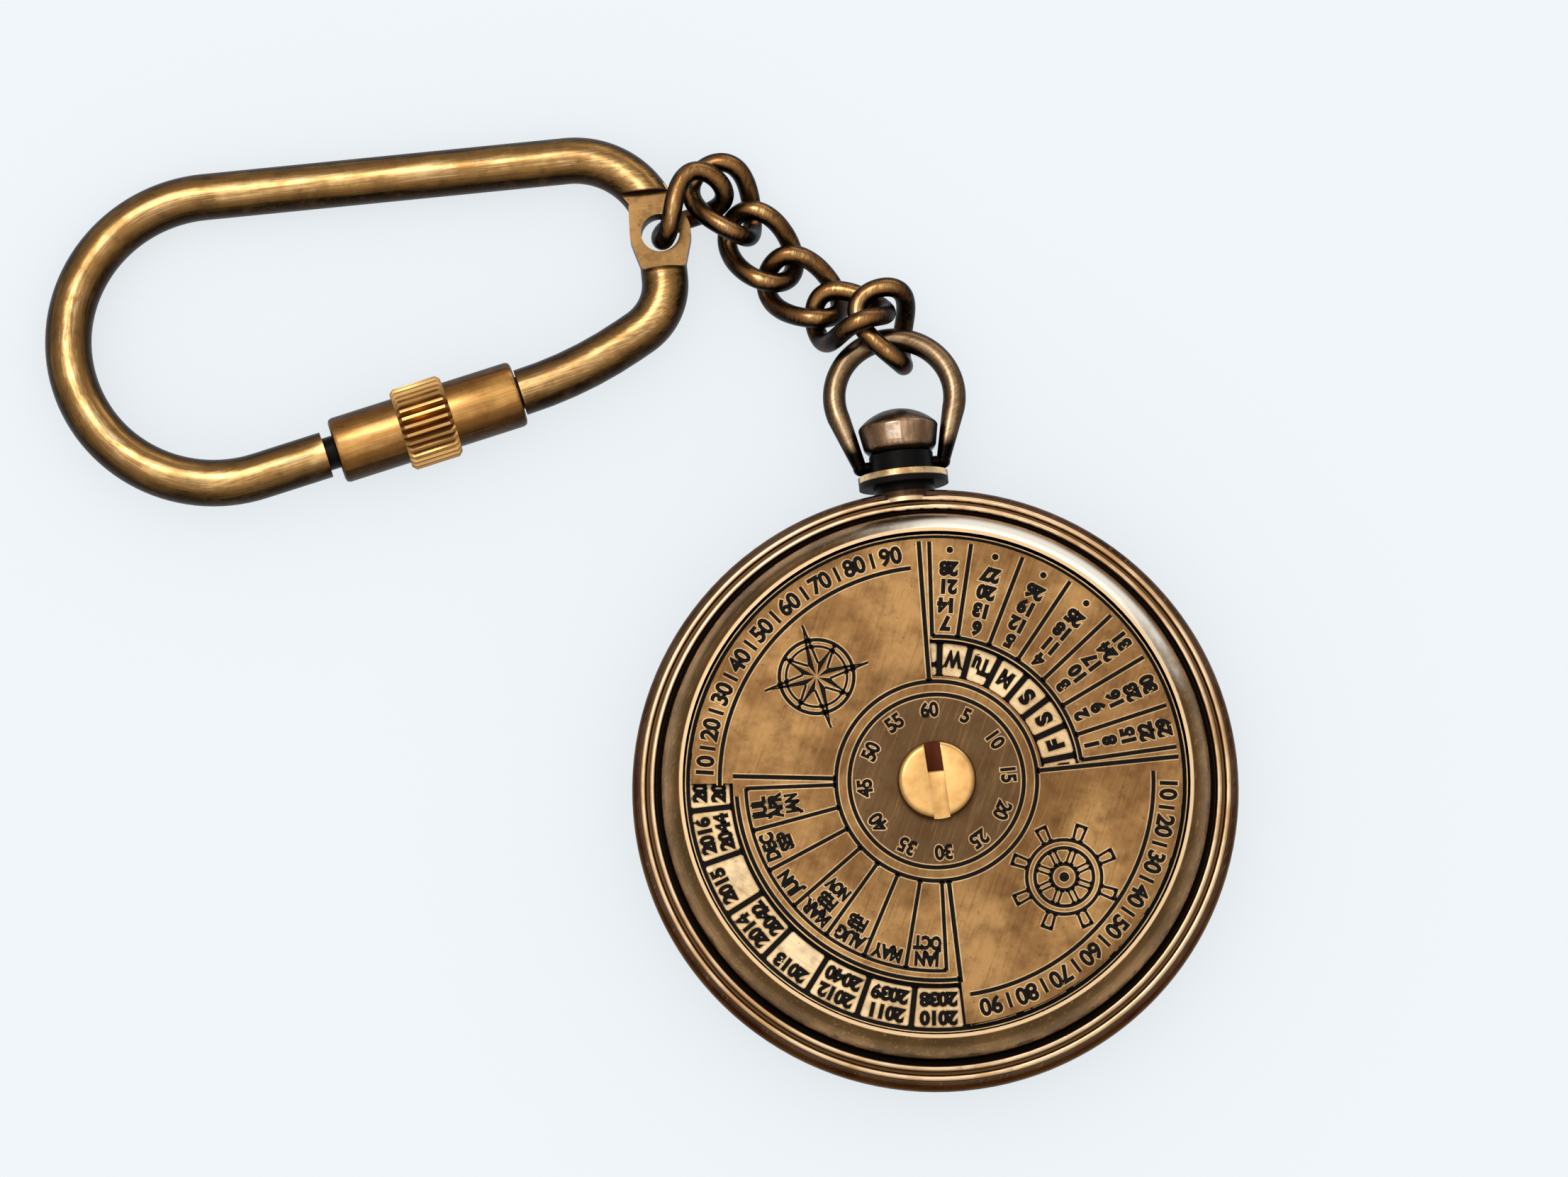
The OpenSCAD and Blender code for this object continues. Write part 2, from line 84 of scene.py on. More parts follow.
def cleanUp(obj):
    # merge doubles, then turn every face outwards
    editMode(obj, "VERT")
    bpy.ops.mesh.select_all(action="SELECT")
    bpy.ops.mesh.remove_doubles(threshold=0.000001)
    bpy.ops.mesh.normals_make_consistent(inside=False)
    objectMode()


def applyPlace(obj, place=None):
    makeActive(obj)
    if place is not None:
        obj.matrix_world = place
    bpy.ops.object.transform_apply(location=True, rotation=True, scale=True)


def useModifier(obj, kind, **settings):
    makeActive(obj)
    mod = obj.modifiers.new(kind.title(), kind)
    for key, value in settings.items():
        setattr(mod, key, value)
    bpy.ops.object.modifier_apply(modifier=mod.name)


def softEdges(obj, width, steps, angle):
    useModifier(obj, "BEVEL", width=width * mm, segments=steps, limit_method="ANGLE",
                angle_limit=math.radians(angle))


def smooth(obj, angle=35):
    makeActive(obj)
    bpy.ops.object.shade_smooth_by_angle(angle=math.radians(angle))


def cut(obj, cutter, operation="DIFFERENCE"):
    useModifier(obj, "BOOLEAN", object=cutter, operation=operation, solver="EXACT")
    bpy.data.objects.remove(cutter)


def joined(parts, name):
    deselectAll()
    for part in parts:
        part.select_set(True)
    bpy.context.view_layer.objects.active = parts[0]
    if len(parts) > 1:
        bpy.ops.object.join()
    return newPiece(name)


def turned(name, profile, sides=128):
    # lathe: one circle, extruded and resized from step to step; profile is (radius, height) in mm
    deselectAll()
    r, z = profile[0]
    bpy.ops.mesh.primitive_circle_add(vertices=sides, radius=r * mm, location=(0, 0, z * mm),
                                      fill_type="NOTHING")
    obj = newPiece(name)
    applyPlace(obj)
    editMode(obj, "EDGE")
    bpy.ops.mesh.select_all(action="SELECT")
    for nextR, nextZ in profile[1:]:
        bpy.ops.mesh.extrude_region_move(TRANSFORM_OT_translate={"value": (0, 0, (nextZ - z) * mm)})
        k = nextR / r
        bpy.ops.transform.resize(value=(k, k, 1), center_override=(0, 0, nextZ * mm))
        r, z = nextR, nextZ
    objectMode()
    return obj


def closeEnds(obj):
    editMode(obj, "EDGE")
    bpy.ops.mesh.select_all(action="DESELECT")
    bpy.ops.mesh.select_non_manifold(extend=False)
    bpy.ops.mesh.edge_face_add()
    objectMode()
    cleanUp(obj)


def arcPoint(deg, r=1.0):
    return Vector((r * math.cos(math.radians(deg)), r * math.sin(math.radians(deg)), 0))


# shader maths as expressions

class Sock:
    def __init__(self, tree, out):
        self.tree = tree
        self.out = out

    def node(self, kind, settings=None, **inputs):
        # settings first, then the sockets, by name or, where names repeat, by number as i0 and i1
        made = self.tree.nodes.new(kind)
        for key, value in (settings or {}).items():
            setattr(made, key, value)
        for key, value in inputs.items():
            numbered = key[0] == "i" and key[1:].isdigit()
            slot = made.inputs[int(key[1:]) if numbered else key.replace("_", " ")]
            if isinstance(value, Sock):
                self.tree.links.new(value.out, slot)
            else:
                slot.default_value = value
        return made

    def wrap(self, made, out=0):
        return Sock(self.tree, made.outputs[out])

    def math(self, op, a, b=0.0, clamp=False):
        return self.wrap(self.node("ShaderNodeMath", {"operation": op, "use_clamp": clamp}, i0=a, i1=b))

    def __add__(self, other):
        return self.math("ADD", self, other)

    __radd__ = __add__

    def __mul__(self, other):
        return self.math("MULTIPLY", self, other)

    __rmul__ = __mul__

    def __sub__(self, other):
        return self.math("SUBTRACT", self, other)

    def __rsub__(self, other):
        return self.math("SUBTRACT", other, self)

    def __truediv__(self, other):
        return self.math("DIVIDE", self, other)

    def __pow__(self, other):
        return self.math("POWER", self, other)

    def __abs__(self):
        return self.math("ABSOLUTE", self)

    def clamp(self):
        return self.math("ADD", self, 0.0, True)

    def step(self, low, high):
        # 0 below low, 1 above high, smooth between
        made = self.node("ShaderNodeMapRange", {"interpolation_type": "SMOOTHSTEP"},
                         Value=self, From_Min=low, From_Max=high)
        return self.wrap(made)

    def band(self, middle, half, soft):
        # 1 near middle, 0 away from it
        return 1 - abs(self - middle).step(half, half + soft)


class Finish:
    # one material: Object coordinates in mm, noise, mixes and the final shader
    def __init__(self, name):
        self.mat = bpy.data.materials.new(name)
        self.mat.use_nodes = True
        self.tree = self.mat.node_tree
        self.shader = self.tree.nodes["Principled BSDF"]
        self.kit = Sock(self.tree, None)
        coords = self.kit.node("ShaderNodeTexCoord")
        self.place = self.scaled(Sock(self.tree, coords.outputs["Object"]), (1000, 1000, 1000))
        self.facing = Sock(self.tree, coords.outputs["Normal"])
        split = self.kit.node("ShaderNodeSeparateXYZ", i0=self.place)
        self.x, self.y, self.z = [Sock(self.tree, o) for o in split.outputs]
        turn = self.kit.node("ShaderNodeSeparateXYZ", i0=self.facing)
        self.up = Sock(self.tree, turn.outputs[2])

    def scaled(self, vec, by):
        made = self.kit.node("ShaderNodeVectorMath", {"operation": "MULTIPLY"}, i0=vec, i1=by)
        return Sock(self.tree, made.outputs[0])

    def noise(self, size, detail=3.0, rough=0.55, stretch=(1, 1, 1), vec=None, seed=0.0):
        by = tuple(k / size for k in stretch)
        where = self.scaled(vec or self.place, by)
        if seed:
            shift = (seed, seed * 1.7, seed * 0.6)
            made = self.kit.node("ShaderNodeVectorMath", {"operation": "ADD"}, i0=where, i1=shift)
            where = Sock(self.tree, made.outputs[0])
        made = self.kit.node("ShaderNodeTexNoise", None, Vector=where, Scale=1.0, Detail=detail,
                             Roughness=rough)
        return Sock(self.tree, made.outputs[0])

    def turnedCoords(self, deg):
        turn = (0, 0, math.radians(deg))
        made = self.kit.node("ShaderNodeMapping", None, Vector=self.place, Rotation=turn)
        return Sock(self.tree, made.outputs[0])

    def mix(self, mask, low, high):
        made = self.kit.node("ShaderNodeMix", {"data_type": "RGBA", "blend_type": "MIX"})
        for slot, value in ((made.inputs[0], mask), (made.inputs[6], low), (made.inputs[7], high)):
            if isinstance(value, Sock):
                self.tree.links.new(value.out, slot)
            elif isinstance(value, (int, float)):
                slot.default_value = value
            else:
                slot.default_value = (*value, 1)
        return Sock(self.tree, made.outputs[2])

    def bump(self, height, strength, distance):
        made = self.kit.node("ShaderNodeBump", None, Strength=strength, Distance=distance * mm,
                             Height=height)
        return Sock(self.tree, made.outputs[0])

    def done(self, colour, rough, metallic=1.0, normal=None, **plain):
        varied = {"Base Color": colour, "Roughness": rough, "Metallic": metallic, "Normal": normal}
        for key, value in varied.items():
            slot = self.shader.inputs[key]
            if isinstance(value, Sock):
                self.tree.links.new(value.out, slot)
            elif value is not None:
                slot.default_value = (*value, 1) if key == "Base Color" else value
        for key, value in plain.items():
            self.shader.inputs[key.replace("_", " ")].default_value = value
        return self.mat


def rgb(r, g, b):
    # screen colour 0-255 to the linear value that a shader takes
    parts = (r / 255, g / 255, b / 255)
    return tuple(c / 12.92 if c <= 0.04045 else ((c + 0.055) / 1.055) ** 2.4 for c in parts)


# camera, floor and light, as in the photograph

shot = {"target": (-9.61, 16.76, 0.0), "roll": 5.71, "tilt": 8.8, "distance": 601.0, "width": 117.58}
sensor = 36
roll = math.radians(shot["roll"])
tilt = math.radians(shot["tilt"])
rightward = Vector((math.cos(roll), -math.sin(roll), 0))
onward = Vector((math.sin(roll), math.cos(roll), 0))
backward = math.cos(tilt) * Vector((0, 0, 1)) - math.sin(tilt) * onward
bpy.ops.object.camera_add()
camera = bpy.context.object
camera.name = "photoCamera"
camera.data.sensor_width = sensor
camera.data.lens = sensor * shot["distance"] / shot["width"]
camera.data.clip_start = 0.01
spin = Matrix((rightward, backward.cross(rightward), backward)).transposed().to_4x4()
camera.matrix_world = Matrix.Translation((Vector(shot["target"]) + shot["distance"] * backward) * mm) @ spin
bpy.context.scene.camera = camera

def seenRays(kit):
    # 1 on rays that show a surface as a picture, 0 on rays that only carry light
    rays = kit.node("ShaderNodeLightPath")
    straight, glossy, through = [Sock(kit.tree, rays.outputs["Is %s Ray" % kind])
                                 for kind in ("Camera", "Glossy", "Transmission")]
    return (straight + glossy + through).clamp()


# the floor shades a pale ground near the object, and what hangs lower still shows through it
floorLook = {"colour": rgb(241, 246, 250), "shadow": 0.25, "reach": 22.0, "size": 4.0, "drop": 0.02}
deselectAll()
floorZ = cadLow[2] - floorLook["drop"] * mm
bpy.ops.mesh.primitive_plane_add(size=floorLook["size"], location=(0, 0, floorZ))
floor = newPiece("floor")
floorMat = bpy.data.materials.new("paleFloor")
floorMat.use_nodes = True
floorTree = floorMat.node_tree
floorKit = Sock(floorTree, None)
floorShader = floorTree.nodes["Principled BSDF"]
floorShader.inputs["Base Color"].default_value = (*floorLook["colour"], 1)
floorShader.inputs["Roughness"].default_value = 0.9
floorShader.inputs["Specular IOR Level"].default_value = 0.0
near = floorKit.node("ShaderNodeAmbientOcclusion", {"samples": 6}, Distance=floorLook["reach"] * mm)
shade = 1 - (1 - Sock(floorTree, near.outputs["AO"])) * floorLook["shadow"]
clear = floorKit.node("ShaderNodeBsdfTransparent", None, Color=shade)
blend = floorKit.node("ShaderNodeMixShader", None, Fac=seenRays(floorKit))
floorTree.links.new(floorShader.outputs[0], blend.inputs[1])
floorTree.links.new(clear.outputs[0], blend.inputs[2])
floorTree.links.new(blend.outputs[0], floorTree.nodes["Material Output"].inputs["Surface"])
floor.data.materials.append(floorMat)

sky = {"low": 0.42, "middle": 0.62, "top": 1.12, "heights": (0.1, 0.62, 0.9), "tint": (1.0, 0.99, 0.975, 1)}
scene = bpy.context.scene
scene.view_settings.view_transform = "Standard"
world = bpy.data.worlds.new("softStudio")
scene.world = world
world.use_nodes = True
skyKit = Sock(world.node_tree, None)
skyDir = skyKit.node("ShaderNodeTexCoord")
skySplit = skyKit.node("ShaderNodeSeparateXYZ", i0=Sock(world.node_tree, skyDir.outputs["Generated"]))
height = Sock(world.node_tree, skySplit.outputs[2])
lowAt, middleAt, topAt = sky["heights"]
level = sky["low"] + height.step(lowAt, middleAt) * (sky["middle"] - sky["low"])
level = level + height.step(middleAt, topAt) * (sky["top"] - sky["middle"])
back = world.node_tree.nodes["Background"]
back.inputs["Color"].default_value = sky["tint"]
world.node_tree.links.new(level.out, back.inputs["Strength"])
ground = skyKit.node("ShaderNodeBackground", None, Color=(*floorLook["colour"], 1), Strength=1.0)
whole = skyKit.node("ShaderNodeMixShader", None, Fac=seenRays(skyKit) * height.step(0.0, -0.01))
world.node_tree.links.new(back.outputs[0], whole.inputs[1])
world.node_tree.links.new(ground.outputs[0], whole.inputs[2])
world.node_tree.links.new(whole.outputs[0], world.node_tree.nodes["World Output"].inputs["Surface"])
softLamp = {"at": (-0.12, 0.22, 0.42), "size": 0.22, "power": 0.5}
bpy.ops.object.light_add(type="AREA", location=softLamp["at"])
lamp = bpy.context.object
lamp.name = "softLamp"
lamp.data.shape = "DISK"
lamp.data.size = softLamp["size"]
lamp.data.energy = softLamp["power"]
lamp.rotation_euler = (Vector((0, 0, 0)) - lamp.location).to_track_quat("-Z", "Y").to_euler()
windowLamp = {"toward": 64, "height": 13, "far": 0.6, "size": (0.5, 0.16), "power": 0.55}
across = arcPoint(windowLamp["toward"], math.cos(math.radians(windowLamp["height"])))
lampAt = (across + Vector((0, 0, math.sin(math.radians(windowLamp["height"]))))) * windowLamp["far"]
bpy.ops.object.light_add(type="AREA", location=lampAt)
window = bpy.context.object
window.name = "windowLamp"
window.data.shape = "RECTANGLE"
window.data.size, window.data.size_y = windowLamp["size"]
window.data.energy = windowLamp["power"]
window.rotation_euler = (-lampAt).to_track_quat("-Z", "Y").to_euler()
print("camera, floor and light set")


# finishes

barGrain = 88.7  # the way that the streaks of the straight bar run


def agedBrass(name, tones, edge=0.6, grain=30, rough=0.28, glint=0.3, shadedBelow=None, flat=None, bendAt=None):
    # painted light by the normal: a painted highlight on top, brown lower down, near black along the sides
    # as painted shade, and painted glints on the top; streaked along the grain tones are bright (painted
    # highlight), middle, dark (painted shade) and tarnish; a black range, (y from, y to), is where painted
    # black shade gives way to brass flat is (place, half size, colour, depth of the painted shade at its
    # ends) of a face in a colour of its own, worn, or on the crown a painted reflection, bendAt the middle
    # of a bend that the streaks follow, with a straight bar beyond it whose grain runs along x
    bright, mid, dark, tarnish = tones
    f = Finish(name)
    cloud = f.noise(3.2, 4.0, 0.6)
    patch = f.noise(1.5, 4.0, 0.65, seed=2.6)
    fine = f.noise(0.35, 2.0, 0.6, seed=3.1)
    grains = [grain, barGrain] if bendAt else [grain]
    streaks = [f.noise(0.22, 3.0, 0.7, stretch=(1, 0.02, 1), vec=f.turnedCoords(deg), seed=7.7)
               for deg in grains]
    scratch = streaks[0]
    if bendAt:
        dx, dy = f.x - bendAt[0], f.y - bendAt[1]
        away = (dx * dx + dy * dy) ** 0.5
        swept = f.kit.node("ShaderNodeCombineXYZ", None, X=away, Y=f.y * 0.03, Z=f.z)
        ringed = f.noise(0.22, 3.0, 0.7, vec=Sock(f.tree, swept.outputs[0]), seed=7.7)
        scratch = scratch + (streaks[1] - scratch) * dy.step(2.0, 4.0)
        scratch = scratch + (ringed - scratch) * dx.step(1.0, -3.0)
    # painted light: upward faces get the painted highlight, sideways faces the painted shade
    facing = f.up + (cloud - 0.5) * 0.36 + (scratch - 0.5) * 0.56
    body = facing.step(edge - 0.1, edge + 0.25)
    tone = f.mix(body, dark, mid)
    tone = f.mix(patch.step(0.5, 0.68) * 0.5, tone, tarnish)
    tone = f.mix(facing.step(edge + 0.26, 1.1), tone, bright)
    tone = f.mix(scratch.step(0.54, 0.68) * 0.4, tone, dark)
    tone = f.mix(fine.step(0.6, 0.8) * 0.2, tone, mid)
    # painted glints along the upward crest
    crest = f.up.step(0.82, 0.97) * scratch.step(0.46, 0.36)
    tone = f.mix(crest * cloud.step(0.3, 0.5) * glint, tone, rgb(255, 234, 194))
    # a face in its own colour; the crown's is a painted reflection
    if flat:
        place, half, colour, ends = flat
        across = f.x.band(place[0], half[0], 0.1)
        face = across * f.y.band(place[1], half[1], 0.1) * f.up.step(0.9, 0.98)
        wearAndSheen = f.mix(patch.step(0.46, 0.66) * 0.6, colour, tarnish)
        wearAndSheen = f.mix(fine.step(0.62, 0.74) * 0.5, wearAndSheen, dark)
        tone = f.mix(face, tone, wearAndSheen)
        # painted shade along the stepped ends of the face
        if ends:
            corner = abs(f.y - place[1]).band(half[1], 0.1, 0.16) * across
            tone = f.mix(corner * ends, tone, dark)
    # painted shade: near black below the given y, where the bow's ends go down by the neck
    if shadedBelow:
        tone = f.mix(f.y.step(*shadedBelow), shadeBlack, tone)
    dull = (rough + 0.16 * (1 - body) + (patch - 0.5) * 0.2 + (scratch - 0.5) * 0.16).clamp()
    return f.done(tone, dull, 1.0, f.bump(scratch * 0.7 + fine * 0.3, 0.2, 0.03))


def ringWear(f, radius):
    # fine turned rings and cross scratches
    cloud = f.noise(4.5, 4.0, 0.6)
    swirl = f.kit.node("ShaderNodeCombineXYZ", None, X=radius * 9.0, Y=f.z * 9.0, Z=cloud * 1.5)
    rings = f.noise(1.0, 2.0, 0.6, vec=Sock(f.tree, swirl.outputs[0]))
    scratch = f.noise(0.2, 2.0, 0.7, stretch=(1, 0.07, 1), vec=f.turnedCoords(38), seed=5.3)
    return cloud, rings, scratch


# radii of the case and bezel rings; the angle at the end points to the painted reflection on the bezel
ringAt = {"lip": 18.98, "band": 20.1, "groove": 20.72, "inner": 20.95, "outer": 21.65, "ridge": 0.13,
          "side": 21.9, "boss": 22.2, "wearAndSheen": math.radians(60)}


def bezelFinish(name):
    # bright lip at the bore, brown brushed band with a painted white reflection on one side, near black
    # painted shade toward the groove and on walls that do not face up
    f = Finish(name)
    radius = (f.x * f.x + f.y * f.y) ** 0.5
    cloud, rings, scratch = ringWear(f, radius)
    streak = f.noise(1.3, 4.0, 0.65, seed=1.4)
    tone = f.mix(radius.step(19.2, 20.2), rgb(136, 102, 64), rgb(160, 122, 80))
    tone = f.mix(cloud.step(0.36, 0.62), tone, rgb(112, 84, 52))
    tone = f.mix(rings.step(0.5, 0.74) * 0.45, tone, rgb(70, 50, 32))
    tone = f.mix(scratch.step(0.58, 0.7) * 0.3, tone, rgb(216, 178, 128))
    # painted shade: near black where the band falls toward the groove
    paintedGrooveShade = (radius + (streak - 0.5) * 0.9).step(ringAt["band"], ringAt["band"] + 0.22)
    tone = f.mix(paintedGrooveShade * 0.9, tone, rgb(24, 16, 11))
    # painted reflection: near white on the inner band toward that angle
    toward = (f.x * math.cos(ringAt["wearAndSheen"]) + f.y * math.sin(ringAt["wearAndSheen"])) / radius
    wearAndSheen = (toward + (streak - 0.5) * 0.2).step(0.68, 0.93) * radius.band(19.3, 0.32, 0.45)
    tone = f.mix(wearAndSheen * 0.95, tone, rgb(252, 240, 222))
    tone = f.mix(radius.step(ringAt["lip"], ringAt["lip"] - 0.06), tone, rgb(226, 192, 148))
    # painted shade: near black on faces that do not face up
    tone = f.mix(f.up.step(0.3, 0.05), tone, rgb(14, 10, 8))
    dull = (0.27 + (cloud - 0.5) * 0.14 + (rings - 0.5) * 0.14).clamp()
    return f.done(tone, dull, 1.0, f.bump(rings * 0.7 + scratch * 0.5, 0.12, 0.03))


def caseFinish(name):
    # two bright ridges, polished, with a painted highlight where they face up; brown between them, black
    # groove; the boss near black and the dark brown side, both painted shade
    f = Finish(name)
    radius = (f.x * f.x + f.y * f.y) ** 0.5
    cloud, rings, scratch = ringWear(f, radius)
    ridge = radius.band(ringAt["inner"], ringAt["ridge"], 0.1)
    ridge = ridge + radius.band(ringAt["outer"], ringAt["ridge"], 0.1)
    # polish and a painted highlight on the tops of the ridges
    polishAndHighlight = f.mix(cloud.step(0.4, 0.7), rgb(240, 206, 164), rgb(196, 152, 104))
    tone = f.mix(ridge.clamp() * f.up.step(0.3, 0.6), rgb(92, 66, 40), polishAndHighlight)
    # painted shade: the side dark brown
    side = f.mix(cloud.step(0.38, 0.66), rgb(72, 52, 42), rgb(46, 32, 25))
    side = f.mix(scratch.step(0.58, 0.7) * 0.3, side, rgb(130, 98, 74))
    tone = f.mix(radius.step(ringAt["side"], ringAt["side"] + 0.12), tone, side)
    tone = f.mix(radius.step(ringAt["groove"], ringAt["groove"] - 0.08), tone, rgb(14, 10, 7))
    # painted shade: the boss at the pendant's root near black
    boss = (f.y - abs(f.x) * 0.02).step(ringAt["boss"], ringAt["boss"] + 0.15)
    tone = f.mix(boss, tone, shadeBlack)
    dull = (0.3 + (cloud - 0.5) * 0.14 + (rings - 0.5) * 0.12).clamp()
    wear = f.bump(rings * 0.7 + scratch * 0.5, 0.1, 0.03)
    grazing = (0.52, 0.42, 0.36, 1)
    return f.done(tone, dull, 1 - boss, wear, Specular_IOR_Level=0.15, Specular_Tint=grazing)


def plateBrass(name, bright, mid, dark, grain, hub=None):
    # flat sheet: cloudy antique tone, brushed one way, a few dark specks, greyer inside the hub ring; with a
    # hub, painted shade darker toward it; near black painted shade on the walls
    f = Finish(name)
    cloud = f.noise(6.0, 5.0, 0.62)
    patch = f.noise(1.6, 4.0, 0.6, seed=2.2)
    brush = f.noise(0.22, 3.0, 0.65, stretch=(1, 0.05, 1), vec=f.turnedCoords(grain), seed=4.4)
    speck = f.noise(0.28, 1.0, 0.5, seed=9.1)
    tone = f.mix(cloud.step(0.38, 0.62), mid, bright)
    if hub:
        radius = (f.x * f.x + f.y * f.y) ** 0.5
        tone = f.mix(radius.step(hub[0], hub[0] - 0.15) * 0.85, tone, hub[1])
        tone = f.mix((radius + (patch - 0.5) * 3.0).step(16.6, 18.4) * 0.35, tone, dark)
        # painted shade: darker toward the hub
        tone = f.mix((radius + (cloud - 0.5) * 9.0).step(12.5, 7.5) * 0.32, tone, dark)
    tone = f.mix(patch.step(0.42, 0.78) * 0.55, tone, dark)
    tone = f.mix(brush.step(0.5, 0.75) * 0.34, tone, dark)
    tone = f.mix(brush.step(0.5, 0.28) * 0.22, tone, bright)
    tone = f.mix(speck.step(0.7, 0.78) * 0.5, tone, dark)
    # painted shade: near black on the walls of the sheet and its windows
    tone = f.mix(f.up.step(0.6, 0.2), tone, rgb(16, 11, 7))
    dull = (0.36 + (cloud - 0.5) * 0.16 + (brush - 0.5) * 0.2).clamp()
    return f.done(tone, dull, 1.0, f.bump(brush, 0.16, 0.02))


def darkPatina(name, base, wearAndSheen, rough=0.45):
    # dark mottled tone: patina on the back and post, painted shade on the neck
    f = Finish(name)
    cloud = f.noise(3.0, 5.0, 0.65)
    fine = f.noise(0.4, 3.0, 0.6, seed=6.0)
    tone = f.mix((cloud * 0.7 + fine * 0.3).step(0.42, 0.68), base, wearAndSheen)
    dull = (rough + (fine - 0.5) * 0.25).clamp()
    return f.done(tone, dull, 0.85, f.bump(fine, 0.15, 0.02))


def collarFinish(name, split):
    # outer half of the rim bright; the half beside the case and faces that do not face up painted black as
    # shade
    f = Finish(name)
    cloud = f.noise(1.2, 3.0, 0.6)
    tone = f.mix(cloud.step(0.4, 0.7), rgb(238, 206, 156), rgb(176, 136, 90))
    # painted shade: black toward the case and on faces that do not face up
    black = (f.y.step(split + 0.05, split - 0.05) + f.up.step(0.35, 0.1)).clamp()
    tone = f.mix(black, tone, shadeBlack)
    dull = (0.26 + cloud * 0.15 + black * 0.2).clamp()
    return f.done(tone, dull, 1 - black, f.bump(cloud, 0.1, 0.02), Specular_IOR_Level=0.1)


def inkFill(name, base):
    # black fill in the etched lines, slightly uneven
    f = Finish(name)
    cloud = f.noise(0.5, 3.0, 0.6)
    tone = f.mix(cloud.step(0.45, 0.75), base, tuple(c * 2.0 + 0.002 for c in base))
    return f.done(tone, 0.55 + cloud * 0.2, 0.0, f.bump(cloud, 0.3, 0.02), Specular_IOR_Level=0.12)


def rawBrass(name, bright, dark, slotFloor=None):
    # freshly turned, with painted shade on faces that slope away from the top; slotFloor is (height, edge y)
    # of a slot whose floor has painted shade on one side
    f = Finish(name)
    cloud = f.noise(1.1, 4.0, 0.65, seed=1.9)
    fine = f.noise(0.25, 3.0, 0.6, seed=4.9)
    tone = f.mix(cloud.step(0.4, 0.7) * 0.5, bright, dark)
    tone = f.mix(fine.step(0.55, 0.75) * 0.25, tone, dark)
    # painted shade on faces that do not face up
    tone = f.mix(f.up.step(0.92, 0.3) * 0.9, tone, rgb(110, 66, 34))
    if slotFloor:
        # painted shade on one side of the slot floor
        sunk = f.z.step(slotFloor[0] + 0.1, slotFloor[0]) * f.x.band(0, 0.68, 0.1)
        tone = f.mix(sunk * f.y.step(slotFloor[1], slotFloor[1] + 0.2), tone, rgb(58, 26, 15))
    dull = (0.34 + (cloud - 0.5) * 0.15 + (fine - 0.5) * 0.1).clamp()
    return f.done(tone, dull, 1.0, f.bump(fine, 0.1, 0.02))


# near black for painted shade around the pendant
shadeBlack = rgb(13, 10, 8)
linkTones = rgb(248, 202, 134), rgb(144, 100, 57), rgb(14, 9, 5), rgb(92, 54, 32)
bowTones = rgb(182, 152, 116), rgb(112, 86, 62), rgb(38, 27, 19), rgb(80, 60, 42)
crownTones = rgb(214, 178, 142), rgb(136, 104, 78), rgb(34, 25, 20), rgb(92, 68, 52)
sleeveTones = rgb(224, 168, 94), rgb(152, 104, 53), rgb(60, 38, 18), rgb(100, 66, 34)
knurlTones = rgb(222, 174, 106), rgb(172, 122, 66), rgb(104, 70, 38), rgb(140, 96, 52)
rodTones = rgb(240, 196, 130), rgb(150, 110, 62), rgb(42, 28, 14), rgb(90, 64, 36)
linkBrass = agedBrass("linkBrass", linkTones, 0.69, 20, glint=0.25)
# the bow's ends toward the case painted near black as shade
bowBrass = agedBrass("bowBrass", bowTones, 0.6, 60, glint=0.1, shadedBelow=(25.6, 26.7))
# painted reflection: a pale patch on the top of the crown
crownReflection = ((-0.45, 26.75), (0.5, 0.55), rgb(255, 226, 200), 0.0)
crownBrass = agedBrass("crownBrass", crownTones, 0.5, 0, 0.22, glint=0.0, flat=crownReflection)
sleeveBrass = agedBrass("sleeveBrass", sleeveTones, 0.58, 77, glint=0.15)
knurlBrass = agedBrass("knurlBrass", knurlTones, 0.3, 77, glint=0.0)
bezelBrass = bezelFinish("bezelBrass")
dialHub = (6.25, rgb(96, 76, 54))
dialBrass = plateBrass("dialBrass", rgb(176, 134, 84), rgb(136, 98, 59), rgb(80, 52, 29), 25, dialHub)
yearBrass = plateBrass("yearBrass", rgb(240, 212, 168), rgb(214, 180, 132), rgb(120, 92, 62), -50)
sideBrass = caseFinish("sideBrass")
backBrass = darkPatina("backBrass", rgb(84, 64, 48), rgb(122, 92, 62))
# painted shade: near black for the pendant's neck, and for the stud and stem in the sleeve
recessShadeBrass = darkPatina("recessShadeBrass", rgb(10, 8, 7), rgb(26, 20, 16))
postBrass = darkPatina("postBrass", rgb(110, 84, 54), rgb(150, 116, 74), 0.4)
collarBrass = collarFinish("collarBrass", 23.35)
screwBrass = rawBrass("screwBrass", rgb(232, 182, 114), rgb(190, 134, 74), (9.75, 0.5))
blackFill = inkFill("blackFill", rgb(12, 8, 5))
# pale rims along the legends: burnish and painted highlight
burnishAndHighlightBrass = plateBrass("burnishAndHighlightBrass", rgb(212, 178, 132), rgb(186, 150, 106), rgb(134, 102, 68), 25)

carried = {"case_body": sideBrass, "case_back": backBrass, "bezel_ring": bezelBrass, "year_disc": yearBrass,
           "date_plate": dialBrass, "pivot_post": postBrass, "spring_washer": screwBrass,
           "pendant_collar": collarBrass, "pendant_neck": recessShadeBrass}
for node, finish in carried.items():
    mesh = nodes[node].data
    mesh.materials.clear()
    mesh.materials.append(finish)
print("finishes made, CAD nodes dressed")


# wires and rods: a curve with a round section, made a mesh

